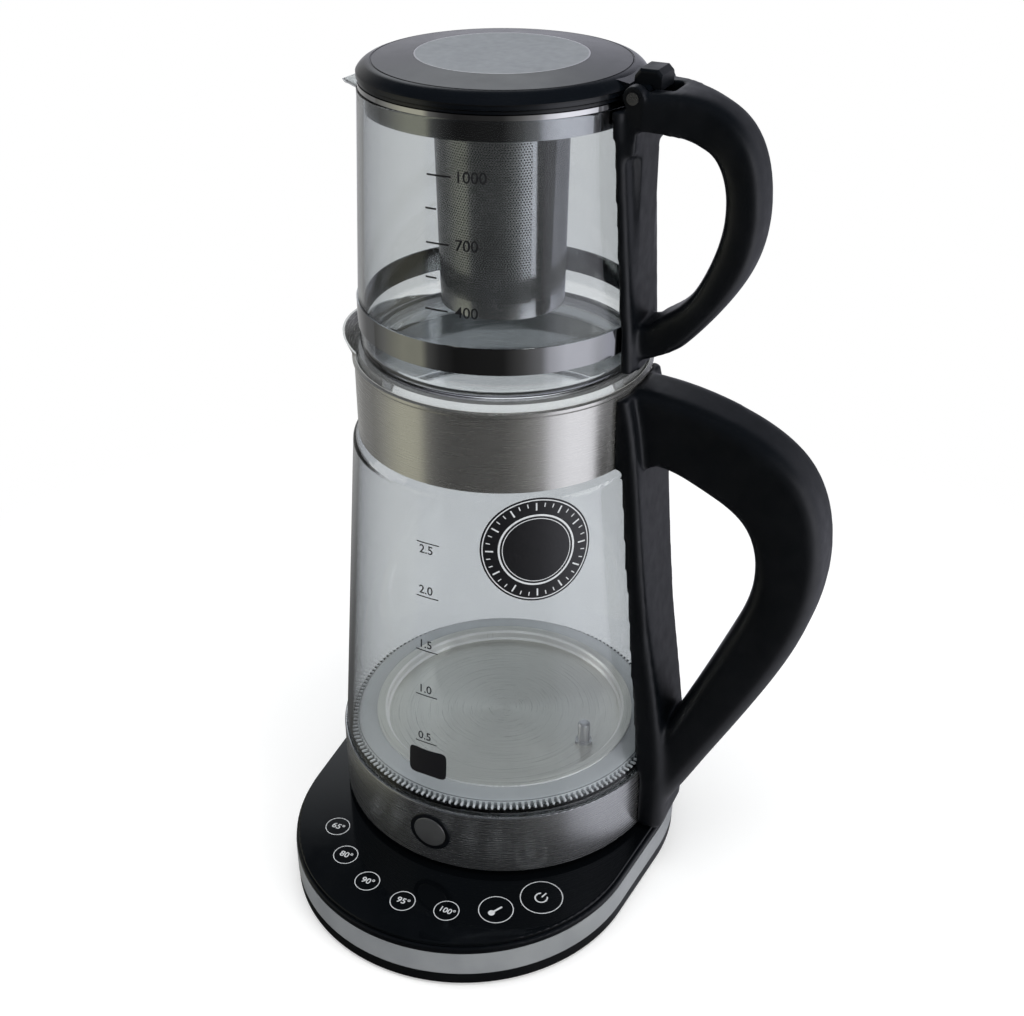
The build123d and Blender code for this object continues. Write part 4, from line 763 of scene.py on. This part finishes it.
def badge_shape(x, y, out):
    """A rounded plate, a little waisted above and below."""
    far = sqrt(x * x + y * y) / MM / BADGE_RADIUS
    turn = atan2(y, x)
    wide = BADGE_WIDE * abs(cos(turn)) ** BADGE_CORNERS * (1 if cos(turn) > 0 else -1)
    tall = BADGE_TALL * abs(sin(turn)) ** BADGE_CORNERS * (1 if sin(turn) > 0 else -1)
    tall *= 1 + 0.12 * (abs(wide) / BADGE_WIDE) ** 2
    return Vector((wide * far * MM, tall * far * MM, out))


badge = onto_glass(patch(BADGE_RADIUS, 6, badge_shape), kettle_side, *BADGE_PLACE, 0.02)
fixed(badge, "kettle_badge_plate", "kettle", black_ink)

# touch keys: numbers in rings, a thermometer and a switch sign; places are x and y on the key plate
NUMBER_KEYS = (
    ("65°", -57.4, -82.9), ("80°", -42.9, -98.9), ("90°", -23.6, -110.0), ("95°", -1.1, -114.1),
    ("100°", 21.4, -110.5),
)
WARM_KEY = (43.0, -99.5)
WARM_SIGN = (43.0, -100.3)
WARM_LEAN = radians(62)
SWITCH_KEY = (59.8, -82.6)
SWITCH_SIGN = (59.8, -82.9)
SWITCH_LEAN = radians(75)


def beside(place, far, turn):
    """The point at a distance and in a direction from a place on the key plate."""
    return place[0] + far * cos(turn), place[1] + far * sin(turn)


def open_ring(radius, width, x, y, gap, facing):
    """A ring with a gap, for the switch sign."""
    ring = hoop(radius, width)
    open_part(ring, lambda place: abs((atan2(place.y, place.x) - facing + pi) % tau - pi) < gap)
    bpy.ops.mesh.delete(type="VERT")
    bpy.ops.mesh.select_all(action="SELECT")
    bpy.ops.mesh.fill_holes(sides=12)
    bpy.ops.transform.translate(value=(x * MM, y * MM, 0))
    close_mesh()
    return ring


key_marks = []
for words, x, y in NUMBER_KEYS:
    key_marks += [hoop(6.2, 0.42, x, y), figure(words, 5.0 if len(words) < 4 else 4.6, x + 0.3, y)]
key_marks += [hoop(8.5, 0.45, *WARM_KEY), hoop(10.5, 0.45, *SWITCH_KEY)]
key_marks.append(stroke(6.4, 1.0, *beside(WARM_SIGN, 0.9, WARM_LEAN), WARM_LEAN, 3))
for radius in (0.35, 0.85, 1.35):
    key_marks.append(hoop(radius, 0.7, *beside(WARM_SIGN, -2.3, WARM_LEAN), 32))
key_marks.append(open_ring(3.0, 0.75, *SWITCH_SIGN, 0.62, SWITCH_LEAN))
key_marks.append(stroke(3.6, 0.75, *beside(SWITCH_SIGN, 2.2, SWITCH_LEAN), SWITCH_LEAN, 3))
plate_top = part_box("base_touch_plate")[1].z
key_sheet = joined(key_marks)
raised(plate_top + 0.01 * MM)
fixed(key_sheet, "touch_key_marks", "power_base", white_ink)

# ---------------------------------------------------------------- ribs of the glass's seal
ALL_BUT_ONE = RIB_COUNT - 1  # the spun copies, without the rib that is there already
nothing_selected()
bpy.ops.mesh.primitive_cube_add(size=1.0)
ribs = bpy.context.object
open_mesh()
bpy.ops.transform.resize(value=tuple(length * MM for length in RIB_SIZE))
bpy.ops.mesh.bevel(offset=0.4 * MM, segments=2, affect="EDGES")
bpy.ops.mesh.select_all(action="SELECT")
bpy.ops.transform.translate(value=(RIB_RADIUS * MM, 0, RIB_HEIGHT * MM))
bpy.ops.mesh.spin(
    steps=ALL_BUT_ONE, dupli=True, angle=tau * ALL_BUT_ONE / RIB_COUNT, center=(0, 0, 0), axis=(0, 0, 1)
)
close_mesh(facing_out=True)
fixed(ribs, "seal_ribs", "kettle", rib_silicone, smooth=True)

# ---------------------------------------------------------------- bright edge of the lid's disc
EDGE_WIDTH = 0.5
EDGE_INSET = 0.15  # from the disc's rim to the middle of its bright edge
disc_low, disc_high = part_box("lid_disc")
disc_edge = hoop((disc_high.x - disc_low.x) / 2 / MM - EDGE_INSET, EDGE_WIDTH, steps=144)
raised(disc_high.z)
fixed(disc_edge, "lid_disc_edge", "lid", polished_steel, smooth=True)

# ---------------------------------------------------------------- studio
# boards that stand round the object, by the compass: azimuth, brightness, warmth
BOARDS = (
    (-180, 0.14, 0.1), (-168, 0.24, 0.1), (-157, 0.34, 0.3), (-145, 0.46, 0.4),
    (-128, 0.46, 0.4), (-122, 0.14, 0.1), (-112, 0.05, 0.0), (-100, 0.02, 0.0),
    (-64, 0.03, 0.0), (-50, 0.12, 0.0), (-36, 0.30, -0.1), (-30, 0.75, -0.2),
    (-17, 1.10, -0.2), (2, 1.10, -0.2), (12, 0.85, -0.2), (24, 0.75, -0.3),
    (38, 0.50, -0.3), (62, 0.28, -0.3), (84, 0.30, -0.3), (104, 0.55, -0.3),
    (124, 0.58, -0.2), (138, 0.40, 0.0), (150, 0.34, 0.0), (166, 0.20, 0.0),
)
PANEL_AZIMUTH = 122  # of a tall light panel behind the object, mirrored by what lies level


def compass(f):
    """Brightness of the boards in the direction of the shaded point."""
    _, _, angle = f.around()
    ramp = f.add("ShaderNodeValToRGB", f.sums("ADD", f.sums("DIVIDE", angle, tau), 0.5))
    stops = ramp.color_ramp.elements
    stops.remove(stops[1])  # a new ramp has two, of which the first becomes the first board's
    for index, (azimuth, light, warm) in enumerate(BOARDS):
        position = azimuth / 360 + 0.5
        stop = stops[0] if index == 0 else stops.new(position)
        stop.position = position
        stop.color = tone(light, light * (1 - 0.03 * warm), light * (1 - 0.5 * warm))
    return ramp.outputs[0]


class Sky(Finish):
    """The world's shader under construction; its place is a direction."""

    def __init__(self):
        world = bpy.data.worlds.new("studio")
        world.use_nodes = True
        scene.world = world
        self.tree = world.node_tree
        self.tree.nodes.clear()
        self.output = self.tree.nodes.new("ShaderNodeOutputWorld")
        self.place = self.add("ShaderNodeTexCoord").outputs["Generated"]


def hang_sky():
    """White when looked at; in a mirror, the boards, a dark dome over them and one tall panel."""
    sky = Sky()
    straight, mirrored = sky.sight()
    up, _, angle = sky.around()
    dome = sky.blend(sky.spread(up, 0.0, 1.0, 0.28, 0.60), compass(sky), tone(0.045, 0.052, 0.064))
    aside = sky.sums("ABSOLUTE", sky.sums("SUBTRACT", angle, radians(PANEL_AZIMUTH)))
    foot, top = sky.spread(up, 0.0, 1.0, 0.26, 0.44), sky.spread(up, 1.0, 0.0, 0.62, 0.69)
    panel = sky.sums("MULTIPLY", sky.spread(aside, 1.0, 0.0, 0.16, 0.30), sky.sums("MULTIPLY", foot, top))
    dome = sky.blend(panel, dome, tone(1.12, 1.17, 1.22))
    room = sky.blend(mirrored, tone(0.55, 0.56, 0.57), dome)
    white = sky.sums("MULTIPLY", straight, sky.sums("SUBTRACT", 1.0, mirrored))
    glow = sky.add("ShaderNodeBackground", sky.blend(white, room, tone(1.0)))
    sky.join(glow.outputs[0], sky.output.inputs[0])


def floor_finish():
    """A white floor that takes shadows near the object; in a mirror it carries on the boards."""
    f = Finish("pale_floor")
    straight, mirrored = f.sight()
    _, far, _ = f.around()
    matt = f.add("ShaderNodeBsdfDiffuse", tone(0.80))
    glow = f.add("ShaderNodeEmission", tone(1.0), f.sums("MULTIPLY", straight, 0.30))
    lit = f.add("ShaderNodeAddShader", matt.outputs[0], glow.outputs[0])
    plain = f.add("ShaderNodeEmission", tone(1.0))
    away = f.sums("MULTIPLY", straight, f.spread(far, 0.0, 1.0, 0.16, 0.50))
    shown = f.add("ShaderNodeMixShader", away, lit.outputs[0], plain.outputs[0])
    boards = f.add("ShaderNodeEmission", compass(f), f.spread(far, 0.40, 1.0, 0.15, 0.5))
    whole = f.add("ShaderNodeMixShader", mirrored, shown.outputs[0], boards.outputs[0])
    f.join(whole.outputs[0], f.output.inputs[0])
    f.tree.nodes.remove(f.shader)
    return f.material


LAMP_AIM = Vector((0, 0, 0.2))


def lamp(name, azimuth, height, distance, size, power, tint=(1.0, 1.0, 1.0)):
    """A soft rectangular lamp that points at the object and isn't seen in mirrors."""
    data = bpy.data.lights.new(name, "AREA")
    data.shape = "RECTANGLE"
    data.size, data.size_y = size
    data.energy = power
    data.color = tint
    lit = bpy.data.objects.new(name, data)
    lit.visible_glossy = False
    scene.collection.objects.link(lit)
    turn = radians(azimuth)
    lit.location = (distance * cos(turn), distance * sin(turn), height)
    lit.rotation_euler = (LAMP_AIM - lit.location).to_track_quat("-Z", "Y").to_euler()


hang_sky()
nothing_selected()
bpy.ops.mesh.primitive_circle_add(vertices=96, radius=6.0, fill_type="NGON")
floor = bpy.context.object
floor.name = "floor"
floor.data.materials.append(floor_finish())
lamp("window", -12, 0.75, 1.5, (0.9, 1.3), 14.0, (1.0, 0.99, 0.97))
lamp("ceiling", -60, 1.8, 0.35, (1.1, 1.1), 12.0)
lamp("left_panel", -165, 0.7, 1.5, (0.7, 1.1), 6.0, (1.0, 0.96, 0.9))
